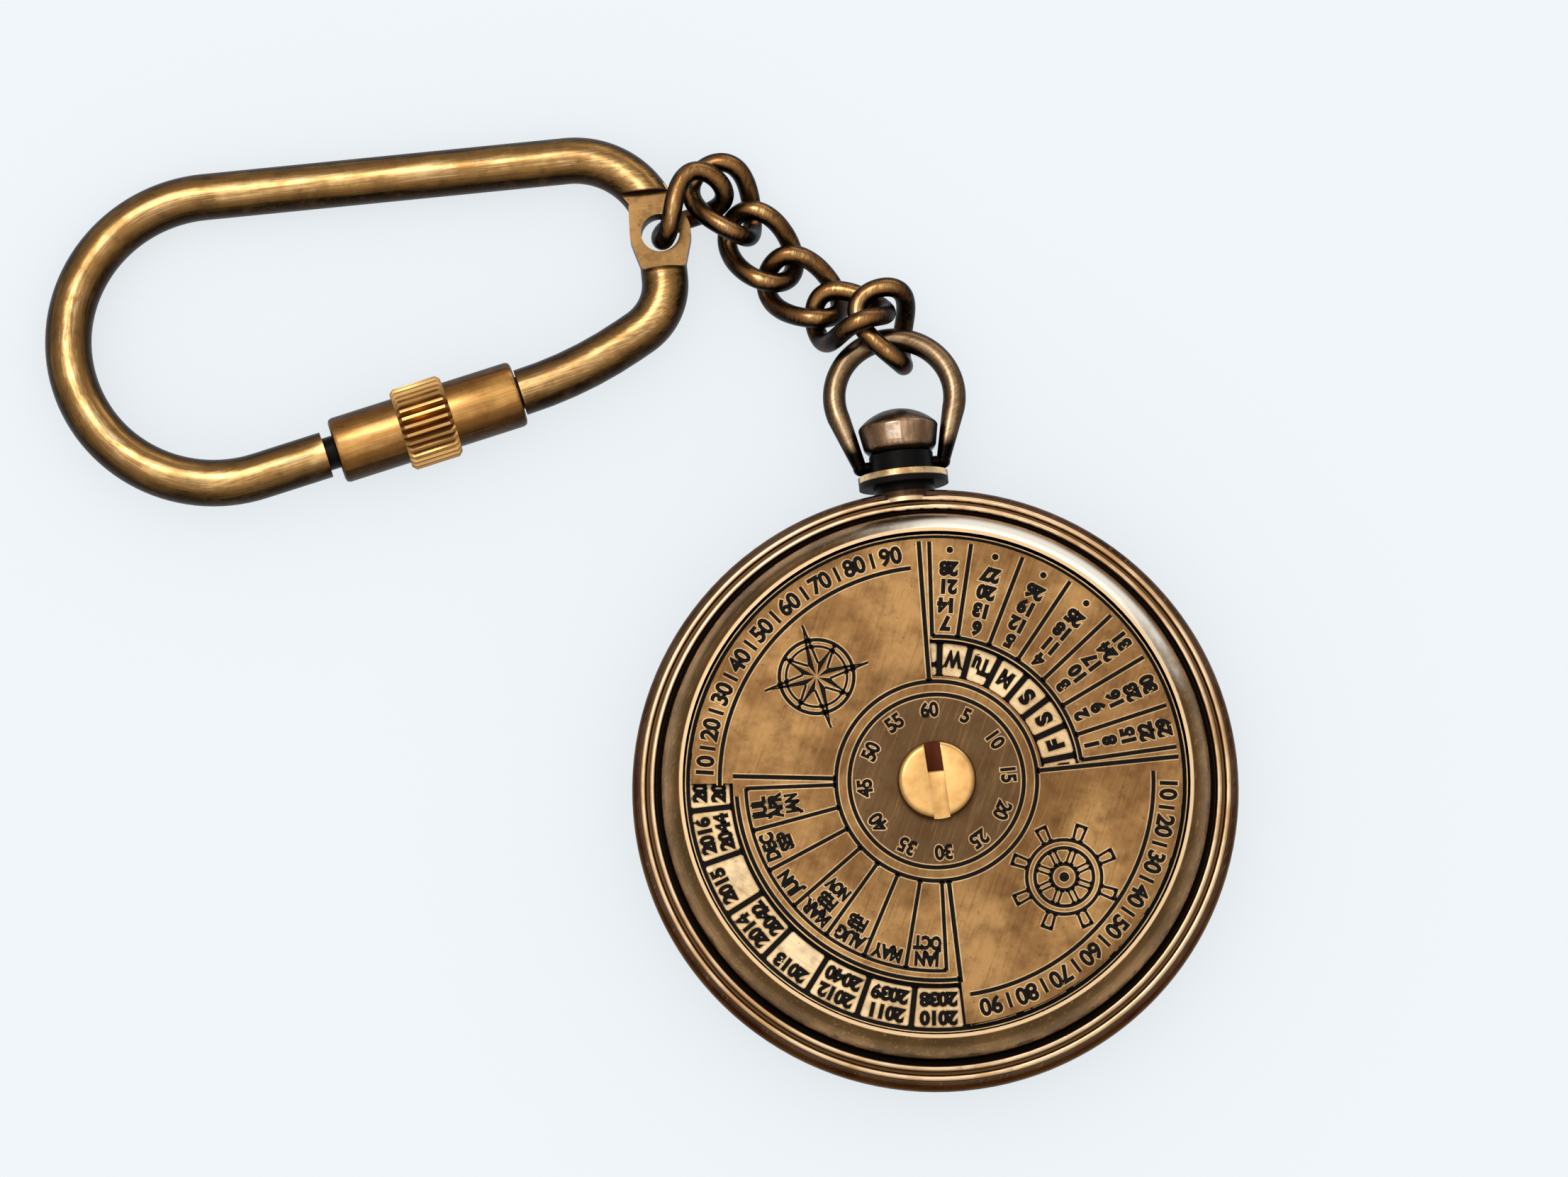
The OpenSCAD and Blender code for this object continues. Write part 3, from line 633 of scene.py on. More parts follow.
def tube(name, points, radius, closed=False, taper=None, roundness=10):
    deselectAll()
    bpy.ops.curve.primitive_nurbs_path_add()
    obj = newPiece(name)
    data = obj.data
    data.splines.clear()
    line = data.splines.new("POLY")
    line.points.add(len(points) - 1)
    for k, p in enumerate(points):
        line.points[k].co = (p[0] * mm, p[1] * mm, p[2] * mm, 1)
        line.points[k].radius = taper[k] if taper else 1.0
    line.use_cyclic_u = closed
    data.dimensions = "3D"
    data.twist_mode = "MINIMUM"
    data.bevel_depth = radius * mm
    data.bevel_resolution = roundness
    data.use_fill_caps = not closed
    obj.location = (0, 0, 0)
    obj.rotation_euler = (0, 0, 0)
    makeActive(obj)
    bpy.ops.object.convert(target="MESH")
    obj = newPiece(name)
    cleanUp(obj)
    return obj


def dress(obj, finish):
    obj.data.materials.clear()
    obj.data.materials.append(finish)


def finishPiece(obj, body, slot, finish, *stands, angle=35):
    smooth(obj, angle)
    if finish:
        dress(obj, finish)
    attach(obj, body)
    if stands:
        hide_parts(*stands)


def alongY(y, z=4.0):
    return Matrix.Translation((0, y * mm, z * mm)) @ Matrix.Rotation(-math.pi / 2, 4, "X")


# crown

crownSize = {"from": 25.3, "r": 2.7, "flare": 0.55, "bevel": 0.5, "length": 3.5, "dome": 4.0, "edge": 0.16}


def makeCrown():
    # bevelled foot, side that widens outward, domed end
    s = crownSize
    middle = s["length"] - s["dome"]
    slope = s["flare"] / (s["length"] - s["bevel"])
    rim = s["bevel"]
    while math.hypot(s["r"] + slope * (rim - s["bevel"]), rim - middle) < s["dome"]:
        rim = rim + 0.005
    rimR = s["r"] + slope * (rim - s["bevel"])
    spread = math.atan2(rimR, rim - middle)
    steps = 9
    profile = [(axisR, 0.0), (s["r"] - s["bevel"], 0.0), (s["r"], s["bevel"]), (rimR, rim)]
    for k in range(1, steps):
        a = spread * (1 - k / steps)
        profile.append((s["dome"] * math.sin(a), middle + s["dome"] * math.cos(a)))
    profile.append((axisR, s["length"]))
    obj = turned("crownButton", profile, 96)
    closeEnds(obj)
    softEdges(obj, s["edge"], 3, 25)
    applyPlace(obj, alongY(s["from"]))
    finishPiece(obj, "case", "antique_brass", crownBrass, "crown")


makeCrown()


# centre screw

screwSize = {"from": 9.05, "r": 2.9, "height": 1.15, "slot": 1.2, "depth": 0.6, "turn": 2.5, "edge": 0.5,
             "shankR": 1.2, "shank": 4.5, "crease": 0.06}


def makeScrew():
    s = screwSize
    top = s["from"] + s["height"]
    foot = s["from"] - s["shank"]
    profile = [(axisR, foot), (s["shankR"], foot), (s["shankR"], s["from"]), (s["r"], s["from"])]
    for k in range(0, 7):
        a = math.radians(15 * k)
        profile.append((s["r"] - s["edge"] + s["edge"] * math.cos(a),
                        top - s["edge"] + s["edge"] * math.sin(a)))
    obj = turned("centreScrew", profile + [(axisR, top)], 96)
    closeEnds(obj)
    deselectAll()
    bpy.ops.mesh.primitive_cube_add(size=1, location=(0, 0, top * mm))
    cutter = newPiece("slotCutter")
    cutter.scale = (s["slot"] * mm, 4 * s["r"] * mm, 2 * s["depth"] * mm)
    cutter.rotation_euler = (0, 0, math.radians(s["turn"]))
    applyPlace(cutter)
    cut(obj, cutter)
    softEdges(obj, s["crease"], 2, 40)
    finishPiece(obj, "case", "raw_brass", screwBrass, "centre_screw")


makeScrew()
print("crown and screw made")


# bow

bowSize = {"pivot": (0, 24.55, 4.0), "droop": 7.0, "r": 4.5, "reach": 5.35, "knuckleX": 3.1, "wire": 1.7,
           "leg": 1.0, "knuckle": 1.1, "pin": 0.9, "pinFrom": 1.4, "pinEdge": 0.1, "arcSteps": 60,
           "legSteps": 6}


def makeBow():
    s = bowSize
    span = math.hypot(s["reach"], s["knuckleX"])
    lean = math.degrees(math.atan2(s["reach"], s["knuckleX"]) - math.acos(s["r"] / span))
    turns = [-lean + (180 + 2 * lean) * k / s["arcSteps"] for k in range(s["arcSteps"] + 1)]
    arc = [Vector((0, s["reach"], 0)) + arcPoint(deg, s["r"]) for deg in turns]
    foot = Vector((s["knuckleX"], 0, 0))
    shares = [k / s["legSteps"] for k in range(s["legSteps"])]
    legs = [foot.lerp(arc[0], share) for share in shares]
    thin = s["leg"] / s["wire"]
    thick = [thin + (1 - thin) * share for share in shares]
    points = legs + arc + [Vector((-p.x, p.y, 0)) for p in reversed(legs)]
    parts = [tube("bowWire", points, s["wire"] / 2, taper=thick + [1.0] * len(arc) + thick[::-1])]
    for side in (1, -1):
        deselectAll()
        bpy.ops.mesh.primitive_uv_sphere_add(segments=32, ring_count=20, radius=s["knuckle"] / 2 * mm,
                                             location=(side * s["knuckleX"] * mm, 0, 0))
        parts.append(newPiece("knuckle"))
        applyPlace(parts[-1])
        pinR = s["pin"] / 2
        pin = turned("pin", [(axisR, s["pinFrom"]), (pinR - s["pinEdge"], s["pinFrom"]),
                             (pinR, s["pinFrom"] + s["pinEdge"]), (pinR, s["knuckleX"]),
                             (axisR, s["knuckleX"])], 32)
        closeEnds(pin)
        applyPlace(pin, Matrix.Rotation(side * math.pi / 2, 4, "Y"))
        parts.append(pin)
    obj = joined(parts, "bowLoop")
    drooping = Matrix.Rotation(math.radians(-s["droop"]), 4, "X")
    applyPlace(obj, Matrix.Translation(Vector(s["pivot"]) * mm) @ drooping)
    finishPiece(obj, "bow", "antique_brass", bowBrass, "bow")


makeBow()


# chain: one curb link, copied along the route
# route and lifts are in pitches: the step to each link's middle, and its height over lying flat

chain = {"wire": 1.45, "innerL": 4.75, "innerW": 2.85, "rise": 1.0, "play": 0.15, "hookDeg": 82, "eyeZ": 2.5,
         "route": [(-0.11, 0.2), (-0.66, 0.24), (-0.66, 0.56), (-0.62, 0.77), (-0.48, 0.79), (-0.65, -0.06),
                   (-0.48, -0.38)],
         "lifts": [0.32, 0.36, 0.01, 0.01, 0.17, 0.303],
         "lies": [(42, -22, 107), (28, 37, 167), (7, 5, 137), (0, 0, 122), (24, -5, 117), (112, 16, -138)]}


def turnedAs(angles):
    x, y, z = [math.radians(a) for a in angles]
    return Matrix.Rotation(z, 4, "Z") @ Matrix.Rotation(y, 4, "Y") @ Matrix.Rotation(x, 4, "X")


pitch = chain["innerL"] - chain["play"]
reach = bowSize["reach"] + bowSize["r"] * math.sin(math.radians(chain["hookDeg"]))
at = Vector((bowSize["r"] * math.cos(math.radians(chain["hookDeg"])),
             bowSize["pivot"][1] + reach * math.cos(math.radians(bowSize["droop"])), 0))
stops = []
for dx, dy in chain["route"]:
    at = at + pitch * Vector((dx, dy, 0))
    stops.append(at)
eyeAt = Vector((stops[6].x, stops[6].y, chain["eyeZ"]))


def makeChain():
    c = chain
    a = (c["innerL"] + c["wire"]) / 2
    b = (c["innerW"] + c["wire"]) / 2
    turns = [2 * math.pi * k / 120 for k in range(120)]
    points = [(a * math.cos(t), b * math.sin(t), -c["rise"] * math.sin(2 * t)) for t in turns]
    model = tube("curbLink", points, c["wire"] / 2, closed=True, roundness=8)
    for n in range(6):
        link = model.copy()
        link.data = model.data.copy()
        bpy.context.collection.objects.link(link)
        link.name = "curbLink.%d" % (n + 1)
        flat = c["rise"] + c["wire"] / 2 + pitch * c["lifts"][n]
        place = Vector((stops[n].x, stops[n].y, flat)) * mm
        applyPlace(link, Matrix.Translation(place) @ turnedAs(c["lies"][n]))
        finishPiece(link, "chain_link_%d" % (n + 1), "antique_brass", linkBrass, "chain_link_%d" % (n + 1))
    bpy.data.objects.remove(model)


makeChain()
print("bow and chain made")


# shackle: a rod bent by a table of straights and bends, with a flattened eye

rod = {"d": 3.5, "gate": 20.6, "slope": 12.4, "bend": 17.0, "bendR": 30.0, "slant": 1.0, "throatR": 4.5,
       "cornerR": 6.5, "loopR": 11.1, "eyeW": 4.6, "eyeT": 1.7, "hole": 2.9, "flatBelow": 2.8,
       "flatAbove": 3.2, "step": 0.15, "edge": 0.18, "cutTo": 3.0, "stud": 2.5, "studGap": 0.8, "studL": 4.5,
       "headD": 3.4, "headT": 1.2, "spindle": 5.0, "seat": 0.9, "roll": -3.83358, "dip": -0.441896}
sleeve = {"length": 14.3, "d": 5.0, "knurlD": 6.3, "knurlL": 3.95, "knurlFrom": 5.05, "ribs": 30,
          "perRib": 6, "groove": 0.35, "grooveHalf": 0.34, "grooveFloor": 0.02, "edge": 0.35, "lip": 0.1,
          "foot": 0.3, "chamfer": 0.3, "endGap": 0.15, "bore": 2.6, "headBore": 3.5, "headPlay": 0.15}


def bendRows():
    s = rod
    throat = s["slope"] + s["bend"]
    cosS, sinS = math.cos(math.radians(s["slope"])), math.sin(math.radians(s["slope"]))
    cosT, sinT = math.cos(math.radians(throat)), math.sin(math.radians(throat))
    eyeL = s["loopR"] * (1 + cosS) - s["gate"] * sinS - s["cornerR"] - s["throatR"] * cosT
    eyeL = eyeL - s["bendR"] * (cosS - cosT) - s["slant"] * sinT
    topL = s["gate"] * cosS + s["bendR"] * (sinT - sinS) + s["throatR"] * (1 - sinT)
    topL = topL - s["cornerR"] + s["loopR"] * sinS + s["slant"] * cosT
    return [(0, 90, s["cornerR"]), (topL, 180 + s["slope"], s["loopR"]), (s["gate"], s["bend"], s["bendR"]),
            (s["slant"], 90 - throat, s["throatR"]), (eyeL, 0, 0)]


def rodPath():
    # middle line from the spindle's end of the gate round to the stud's end, all in the shackle's own plane
    rows = bendRows()
    heading, p = 90.0, Vector((0, 0, 0))
    starts, arcs, middles = [], [], []
    for length, bend, r in rows:
        starts.append((p.copy(), heading))
        p = p + arcPoint(heading, length)
        middle = p + arcPoint(heading + 90, r)
        middles.append(middle)
        steps = max(1, int(bend / 3))
        arcs.append([middle + arcPoint(heading + bend * k / steps - 90, r) for k in range(steps + 1)])
        heading = heading + bend
        p = middle + arcPoint(heading - 90, r)
    gateAt, gateDeg = starts[2]
    left = rod["gate"] - sleeve["length"] - rod["studGap"] - 2 * sleeve["endGap"]
    spindleFrom = left + rod["studGap"] + sleeve["length"] + sleeve["endGap"]
    points = [gateAt + arcPoint(gateDeg, spindleFrom)]
    for n in (2, 3, 0, 1):
        points = points + arcs[n]
    points.append(gateAt + arcPoint(gateDeg, left))
    return points, gateAt, gateDeg, left, spindleFrom, middles[1]


def evened(points, longest=1.2):
    # long straights get points between, so that the tube's faces stay short
    out = [points[0]]
    for p in points[1:]:
        count = max(1, math.ceil((p - out[-1]).length / longest))
        start = out[-1]
        for k in range(1, count + 1):
            out.append(start.lerp(p, k / count))
    return out


rodPoints, gateAt, gateDeg, gateLeft, spindleFrom, loopMiddle = rodPath()
lying = Matrix.Translation(eyeAt * mm) @ turnedAs((rod["roll"], rod["dip"], 0))
flatAt = eyeAt + Vector((0, 0.5 * (rod["flatAbove"] - rod["flatBelow"]), 0))
flatHalf = (rod["d"], 0.5 * (rod["flatBelow"] + rod["flatAbove"]))
# the eye's flat: its own worn tone, with painted shade at its stepped ends
eyeFace = (flatAt, flatHalf, rgb(124, 93, 56), 0.9)
rodBrass = agedBrass("rodBrass", rodTones, 0.68, 77, flat=eyeFace, bendAt=lying @ (loopMiddle * mm) / mm)


def onGate(distance):
    turn = Matrix.Rotation(math.radians(gateDeg), 4, "Z") @ Matrix.Translation((distance * mm, 0, 0))
    return Matrix.Translation(gateAt * mm) @ turn @ Matrix.Rotation(math.pi / 2, 4, "Y")


def plainBox(name, low, high):
    deselectAll()
    bpy.ops.mesh.primitive_cube_add(size=1, location=(Vector(low) + Vector(high)) / 2 * mm)
    obj = newPiece(name)
    obj.scale = (Vector(high) - Vector(low)) * mm
    applyPlace(obj)
    return obj


def spindlePiece(name, profile, distance):
    obj = turned(name, profile, 48)
    closeEnds(obj)
    applyPlace(obj, onGate(distance))
    return obj


def eyePlate():
    # outline hulled over the eye's round and the two ends of the flat, then given its thickness
    s = rod
    endW = s["d"] - 2 * s["step"]
    endDeg = math.degrees(s["flatAbove"] / s["cornerR"])
    points = [arcPoint(5 * k, s["eyeW"] / 2) for k in range(72)]
    for side in (-1, 1):
        points.append(Vector((side * endW / 2, -s["flatBelow"], 0)))
        points.append(Vector((-s["cornerR"], 0, 0)) + arcPoint(endDeg, s["cornerR"] + side * endW / 2))
    deselectAll()
    bpy.ops.mesh.primitive_circle_add(vertices=len(points), radius=mm, fill_type="NOTHING")
    obj = newPiece("eyePlate")
    for vert, p in zip(obj.data.vertices, points):
        vert.co = (p.x * mm, p.y * mm, -s["eyeT"] / 2 * mm)
    editMode(obj, "VERT")
    bpy.ops.mesh.select_all(action="SELECT")
    bpy.ops.mesh.extrude_region_move(TRANSFORM_OT_translate={"value": (0, 0, s["eyeT"] * mm)})
    bpy.ops.mesh.select_all(action="SELECT")
    bpy.ops.mesh.convex_hull()
    objectMode()
    cleanUp(obj)
    return obj


def makeShackle():
    s = rod
    obj = tube("shackleRod", evened(rodPoints), s["d"] / 2, roundness=12)
    wide = (s["eyeW"] + s["d"]) / 2
    cutTo = s["cutTo"]
    for side in (1, -1):
        low = min(side * s["eyeT"] / 2, side * cutTo)
        cut(obj, plainBox("flatCutter", (-wide, -s["flatBelow"], low),
                          (wide, s["flatAbove"], low + cutTo - s["eyeT"] / 2)))
    cut(obj, eyePlate(), "UNION")
    holeR = s["hole"] / 2
    hole = turned("holeCutter", [(axisR, -cutTo), (holeR, -cutTo), (holeR, cutTo), (axisR, cutTo)], 64)
    closeEnds(hole)
    cut(obj, hole)
    softEdges(obj, s["edge"], 3, 32)
    studR, headR = s["stud"] / 2, s["headD"] / 2
    studTo = s["seat"] + s["studGap"] + s["studL"]
    stud = spindlePiece("stud", [(axisR, 0), (studR, 0), (studR, studTo), (axisR, studTo)],
                        gateLeft - s["seat"])
    stemTo = s["spindle"] + s["seat"]
    stem = spindlePiece("stem", [(axisR, 0), (headR, 0), (headR, s["headT"]), (studR, s["headT"]),
                                 (studR, stemTo), (axisR, stemTo)], spindleFrom - s["spindle"])
    dress(obj, rodBrass)
    # stud and stem near black, painted shade inside the sleeve
    dress(stud, recessShadeBrass)
    dress(stem, recessShadeBrass)
    obj = joined([obj, stud, stem], "shackleRod")
    applyPlace(obj, lying)
    finishPiece(obj, "shackle", "antique_brass", None, "shackle", angle=28)


makeShackle()


def makeSleeve():
    s = sleeve
    r, end, edge, lip, foot = s["d"] / 2, s["length"], s["edge"], s["lip"], s["foot"]
    full, low, high = s["knurlD"] / 2, s["knurlFrom"], s["knurlFrom"] + s["knurlL"]
    boreR, headR, chamfer = s["bore"] / 2, s["headBore"] / 2, s["chamfer"]
    headFrom = end + s["endGap"] - rod["spindle"] - s["headPlay"]
    headTo = headFrom + rod["headT"] + 2 * s["headPlay"]
    barrel = turned("barrel", [(boreR, 0), (r - edge, 0), (r - lip, lip), (r, edge), (r, low + foot),
                               (r, high - foot), (r, end - edge), (r - lip, end - lip), (r - edge, end),
                               (boreR, end), (boreR, headTo), (headR, headTo), (headR, headFrom),
                               (boreR, headFrom), (boreR, 0)], 96)
    cleanUp(barrel)
    band = turned("knurlBand", [(r - foot, low), (full - chamfer, low), (full, low + chamfer),
                                (full, high - chamfer), (full - chamfer, high), (r - foot, high),
                                (r - foot, low)], s["ribs"] * s["perRib"])
    for vert in band.data.vertices:
        x, y = vert.co.x, vert.co.y
        far = math.hypot(x, y) / mm
        phase = (math.degrees(math.atan2(y, x)) * s["ribs"] / 360) % 1.0
        dip = max(0.0, 1 - abs(phase - 0.5) / s["grooveHalf"]) * s["groove"]
        if far > r:
            k = max(r + s["grooveFloor"], far - dip) / far
            vert.co.x, vert.co.y = x * k, y * k
    cleanUp(band)
    dress(barrel, sleeveBrass)
    dress(band, knurlBrass)
    obj = joined([barrel, band], "lockSleeve")
    applyPlace(obj, lying @ onGate(gateLeft + rod["studGap"]))
    finishPiece(obj, "lock_sleeve", "antique_brass", None, "lock_sleeve", angle=30)


makeSleeve()
print("shackle and sleeve made")


# legends: black lines, numbers and signs laid into the two discs, each with a pale rim under it, burnished
# and painted as the highlight along the edge

ink = {"half": 0.022, "line": 0.34, "plateTop": 9.0, "yearTop": 8.15}
edge = {"half": 0.012, "grow": 0.085}


class Legend:
    # flat shapes at one height; grow widens every line
    def __init__(self, z, half, grow=0.0):
        self.z = z
        self.half = half
        self.grow = grow
        self.parts = []

    def shape(self, points):
        # from its outline, then given a little thickness
        points = [Vector((p[0], p[1], 0)) for p in points]
        middle = sum(points, Vector()) / len(points)
        deselectAll()
        bpy.ops.mesh.primitive_circle_add(vertices=len(points), radius=mm, fill_type="NGON")
        obj = bpy.context.object
        for vert, p in zip(obj.data.vertices, points):
            wider = p + self.grow * (p - middle).normalized()
            vert.co = (wider.x * mm, wider.y * mm, (self.z - self.half) * mm)
        editMode(obj)
        bpy.ops.mesh.select_all(action="SELECT")
        bpy.ops.mesh.extrude_region_move(TRANSFORM_OT_translate={"value": (0, 0, 2 * self.half * mm)})
        objectMode()
        cleanUp(obj)
        self.parts.append(obj)

    def strip(self, outline):
        # outline already as wide as it should be
        kept, self.grow = self.grow, 0.0
        self.shape(outline)
        self.grow = kept

    def arc(self, r, start, end, width=None):
        half = (width or ink["line"]) / 2 + self.grow
        steps = max(2, int(abs(end - start) / 2.5))
        turns = [start + (end - start) * k / steps for k in range(steps + 1)]
        outside = [arcPoint(a, r + half) for a in turns]
        self.strip(outside + [arcPoint(a, r - half) for a in reversed(turns)])

    def line(self, p, q, width=None):
        p, q = Vector((p[0], p[1], 0)), Vector((q[0], q[1], 0))
        along = (q - p).normalized()
        side = along.cross(Vector((0, 0, 1))) * ((width or ink["line"]) / 2 + self.grow)
        self.strip([p + side, p - side, q - side, q + side])

    def spoke(self, deg, r0, r1, width=None):
        self.line(arcPoint(deg, r0), arcPoint(deg, r1), width)

    def ring(self, r, width=None, at=(0, 0), sides=128):
        half = (width or ink["line"]) / 2 + self.grow
        low, high = self.z - self.half, self.z + self.half
        section = [(r - half, low), (r + half, low), (r + half, high), (r - half, high), (r - half, low)]
        obj = turned("ring", section, sides)
        cleanUp(obj)
        applyPlace(obj, Matrix.Translation((at[0] * mm, at[1] * mm, 0)))
        self.parts.append(obj)

    def dot(self, p, r, sides=20):
        self.shape([Vector((p[0], p[1], 0)) + arcPoint(360 * k / sides, r) for k in range(sides)])

    def stamp(self, words, r, deg, size, outward=True, narrow=1.0, weight=0.06):
        # one word with its top outward or toward the hub
        deselectAll()
        bpy.ops.object.text_add()
        obj = bpy.context.object
        data = obj.data
        data.body = words
        data.align_x = "CENTER"
        data.align_y = "CENTER"
        data.size = size
        data.offset = weight + self.grow
        data.extrude = self.half
        data.resolution_u = 3
        bpy.ops.object.convert(target="MESH")
        obj = bpy.context.object
        turn = Matrix.Rotation(math.radians(deg - 90 if outward else deg + 90), 4, "Z")
        scale = Matrix.Diagonal((narrow * mm, mm, mm, 1))
        applyPlace(obj, Matrix.Translation((arcPoint(deg, r) + Vector((0, 0, self.z))) * mm) @ turn @ scale)
        self.parts.append(obj)

    def done(self, name, body, finish):
        finishPiece(joined(self.parts, name), body, "antique_brass", finish, angle=20)


# the black ring at r 18.3 on the year disc is painted shade, for the gap at the disc's rim
yearRing = {"boxes": 28, "first": 1.1, "inner": 15.2, "outer": 18.15, "line": 0.42, "rows": (17.38, 16.0),
            "size": 1.36, "weight": 0.09, "start": 2010, "firstBox": 20, "onePerBox": (1, 3),
            "rings": ((15.08, 0.36), (18.3, 0.3), (10.57, 0.4), (7.8, 0.36)),
            "dayFirst": 5.6, "dayIn": 7.9, "dayOut": 10.45, "dayLine": 0.46, "dayAt": 9.3, "daySize": 1.6,
            "dayWeight": 0.11, "days": ("W", "Tu", "M", "S", "S", "F", "Th"), "firstDay": 5}
dayNarrow = {"W": 0.7, "M": 0.8, "S": 1.0, "F": 1.0, "Tu": 0.74, "Th": 0.74}


def drawYears(legend):
    # two years to a box, 28 years apart, and a day letter behind the slot for each box
    s = yearRing
    boxes = s["boxes"]
    step = 360 / boxes
    for r, width in s["rings"]:
        legend.ring(r, width)
    for k in range(boxes):
        legend.spoke(s["first"] + step * k, s["inner"], s["outer"], s["line"])
        legend.spoke(s["dayFirst"] + step * k, s["dayIn"], s["dayOut"], s["dayLine"])
        middle = s["first"] + step * (k + 0.5)
        year = s["start"] + (s["firstBox"] - k) % boxes
        lines = [str(year)] if k % (boxes // 2) in s["onePerBox"] else [str(year), str(year + boxes)]
        for r, words in zip(s["rows"], lines):
            legend.stamp(words, r, middle, s["size"], True, 1.0, s["weight"])
        dayMiddle = s["dayFirst"] + step * (k + 0.5)
        words = s["days"][(s["firstDay"] - k) % len(s["days"])]
        legend.stamp(words, s["dayAt"], dayMiddle, s["daySize"], False, dayNarrow[words], s["dayWeight"])


dial = {"edge": 17.85, "line": 0.3, "hub": (7.4, 6.42), "hubAt": 5.25, "hubSize": 1.5, "hubNumbers": 12,
        "panels": (0.1, 88.4, 173.0, 271.0), "panelOut": 17.9, "monthPanelOut": 15.0, "panelLine": 0.32,
        "dateFrom": 12.7, "dateStep": 12.64, "dateEnds": (2.5, 85.9), "dateIn": 10.75,
        "dateRows": (11.8, 13.15, 14.55, 15.9, 17.25), "dateSize": 1.38, "dateWeight": 0.1, "dotR": 0.24,
        "monthFrom": 189.6, "monthStep": 13.04, "monthEnds": (176.6, 267.1), "monthOut": 14.05,
        "monthRows": (13.15, 11.95, 10.75), "monthSizes": (1.36, 1.29, 1.22),
        "monthNarrow": (0.78, 0.73, 0.68), "monthWeight": 0.09, "monthLines": (0.26, 0.28),
        "monthRim": (14.75, 178.8, 271.0),
        "scales": ((175.5, 91.0), (357.0, 273.0)), "scaleLine": 15.96, "scaleAt": 17.0, "scaleSize": 1.75,
        "scaleWeight": 0.07, "scaleNumbers": 9, "tick": (16.45, 17.6, 0.26),
        "roseAt": (133, 11.75), "wheelAt": (-43, 11.75)}
months = [("JUL", "APR", "JAN"), ("DEC", "SEP"), ("JUN",), ("MAR", "FEB", "NOV"), ("AUG", "FEB"), ("MAY",),
          ("JAN", "OCT")]


def drawDates(legend):
    # small dates nearest the hub, tops toward the hub
    s = dial
    first, last = s["dateEnds"]
    lines = [first] + [s["dateFrom"] + s["dateStep"] * k for k in range(6)] + [last]
    legend.arc(s["dateIn"], first, last, s["line"])
    for deg in lines:
        legend.spoke(deg, s["dateIn"], s["edge"], s["line"])
    for k in range(7):
        middle = 0.5 * (lines[k] + lines[k + 1])
        for row, r in enumerate(s["dateRows"]):
            day = k + 1 + 7 * row
            if day <= 31:
                legend.stamp(str(day), r, middle, s["dateSize"], False, 0.95, s["dateWeight"])
            else:
                legend.dot(arcPoint(middle, r), s["dotR"])


def drawMonths(legend):
    # tops outward, first line outermost
    s = dial
    first, last = s["monthEnds"]
    lines = [first] + [s["monthFrom"] + s["monthStep"] * k for k in range(6)] + [last]
    boxLine, spokeLine = s["monthLines"]
    legend.arc(*s["monthRim"], s["line"])
    legend.arc(s["monthOut"], first, last, boxLine)
    for deg in lines:
        legend.spoke(deg, s["hub"][0], s["monthOut"], spokeLine)
    for k, names in enumerate(months):
        middle = 0.5 * (lines[k] + lines[k + 1])
        for words, r, size, narrow in zip(names, s["monthRows"], s["monthSizes"], s["monthNarrow"]):
            legend.stamp(words, r, middle, size, True, narrow, s["monthWeight"])


def drawScale(legend, start, end):
    # bold numbers with ticks between, read clockwise
    s = dial
    legend.arc(s["scaleLine"], start, end, s["line"])
    halves = 2 * s["scaleNumbers"]
    for k in range(1, halves):
        deg = start + (end - start) * k / halves
        if k % 2 == 1:
            legend.stamp(str(5 * (k + 1)), s["scaleAt"], deg, s["scaleSize"], True, 0.95, s["scaleWeight"])
        else:
            legend.spoke(deg, *s["tick"])


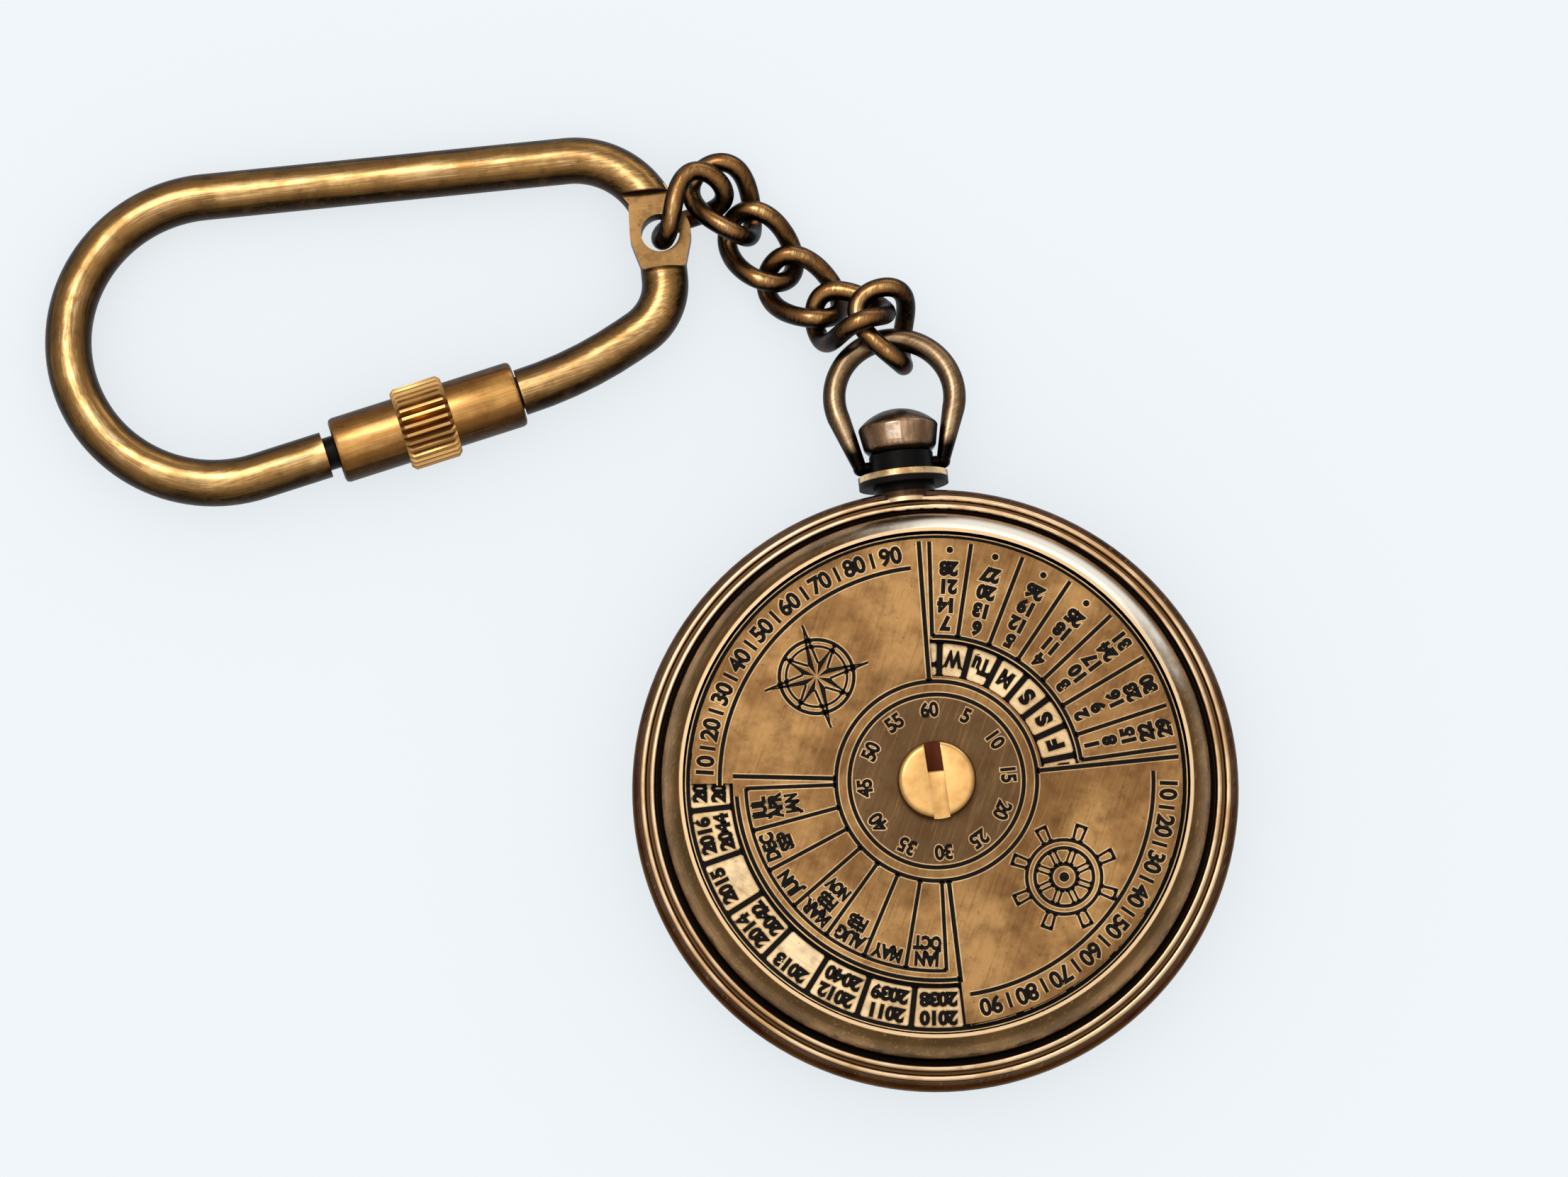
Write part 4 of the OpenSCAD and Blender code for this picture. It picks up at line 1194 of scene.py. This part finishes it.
def drawPlate(legend):
    s = dial
    for r in s["hub"]:
        legend.ring(r, s["line"])
    drawDates(legend)
    drawMonths(legend)
    for deg in s["panels"]:
        beside = s["monthEnds"][0] - 5 < deg < s["monthEnds"][1] + 5
        legend.spoke(deg, s["hub"][0], s["monthPanelOut"] if beside else s["panelOut"], s["panelLine"])
    for start, end in s["scales"]:
        drawScale(legend, start, end)
    for k in range(s["hubNumbers"]):
        legend.stamp(str(5 * (k + 1)), s["hubAt"], 60 - 30 * k, s["hubSize"], True, 0.9, 0.06)
    compassRose(legend, arcPoint(*s["roseAt"]))
    shipWheel(legend, arcPoint(*s["wheelAt"]))


rose = {"rings": ((2.75, 0.26), (2.25, 0.18)), "turn": 10, "long": 3.95, "short": 2.7, "waist": 1.0,
        "core": 0.1, "line": 0.18}


def compassRose(legend, at):
    s = rose
    for r, width in s["rings"]:
        legend.ring(r, width, at, 64)
    for k in range(8):
        deg = 45 * k + s["turn"]
        tip = at + arcPoint(deg, s["long"] if k % 2 == 0 else s["short"])
        legend.shape([tip, at + arcPoint(deg + 22.5, s["waist"]), at + arcPoint(deg, s["core"])])
        legend.line(tip, at + arcPoint(deg - 22.5, s["waist"]), s["line"])


wheel = {"rings": ((2.75, 0.26), (2.15, 0.26), (0.95, 0.26)), "pinR": 0.36, "turn": 20, "half": 0.28,
         "spoke": (0.95, 2.1, 0.16), "spokeHalf": 0.7, "grip": (2.8, 3.95, 0.2), "flare": 0.35,
         "capHalf": 1.6, "capLine": 0.24}


def shipWheel(legend, at):
    s = wheel
    for r, width in s["rings"]:
        legend.ring(r, width, at, 64)
    legend.dot(at, s["pinR"])
    for k in range(8):
        deg = 45 * k + s["turn"]
        across = arcPoint(deg + 90, s["half"])
        for side in (1, -1):
            start, end, width = s["spoke"]
            hub = at + side * across * s["spokeHalf"]
            legend.line(hub + arcPoint(deg, start), hub + arcPoint(deg, end), width)
            start, end, width = s["grip"]
            grip = at + side * across
            outer = grip + side * across * s["flare"] + arcPoint(deg, end)
            legend.line(grip + arcPoint(deg, start), outer, width)
        tip = at + arcPoint(deg, s["grip"][1])
        legend.line(tip + across * s["capHalf"], tip - across * s["capHalf"], s["capLine"])


for name, body, top, draw in (("year", "year_disc", ink["yearTop"], drawYears),
                              ("date", "date_plate", ink["plateTop"], drawPlate)):
    black = Legend(top, ink["half"])
    draw(black)
    black.done(name + "Legend", body, blackFill)
    # pale rims under the lines: burnish and painted highlight
    pale = Legend(top, edge["half"], edge["grow"])
    draw(pale)
    pale.done(name + "Edges", body, burnishAndHighlightBrass)
    print(name, "legend made")
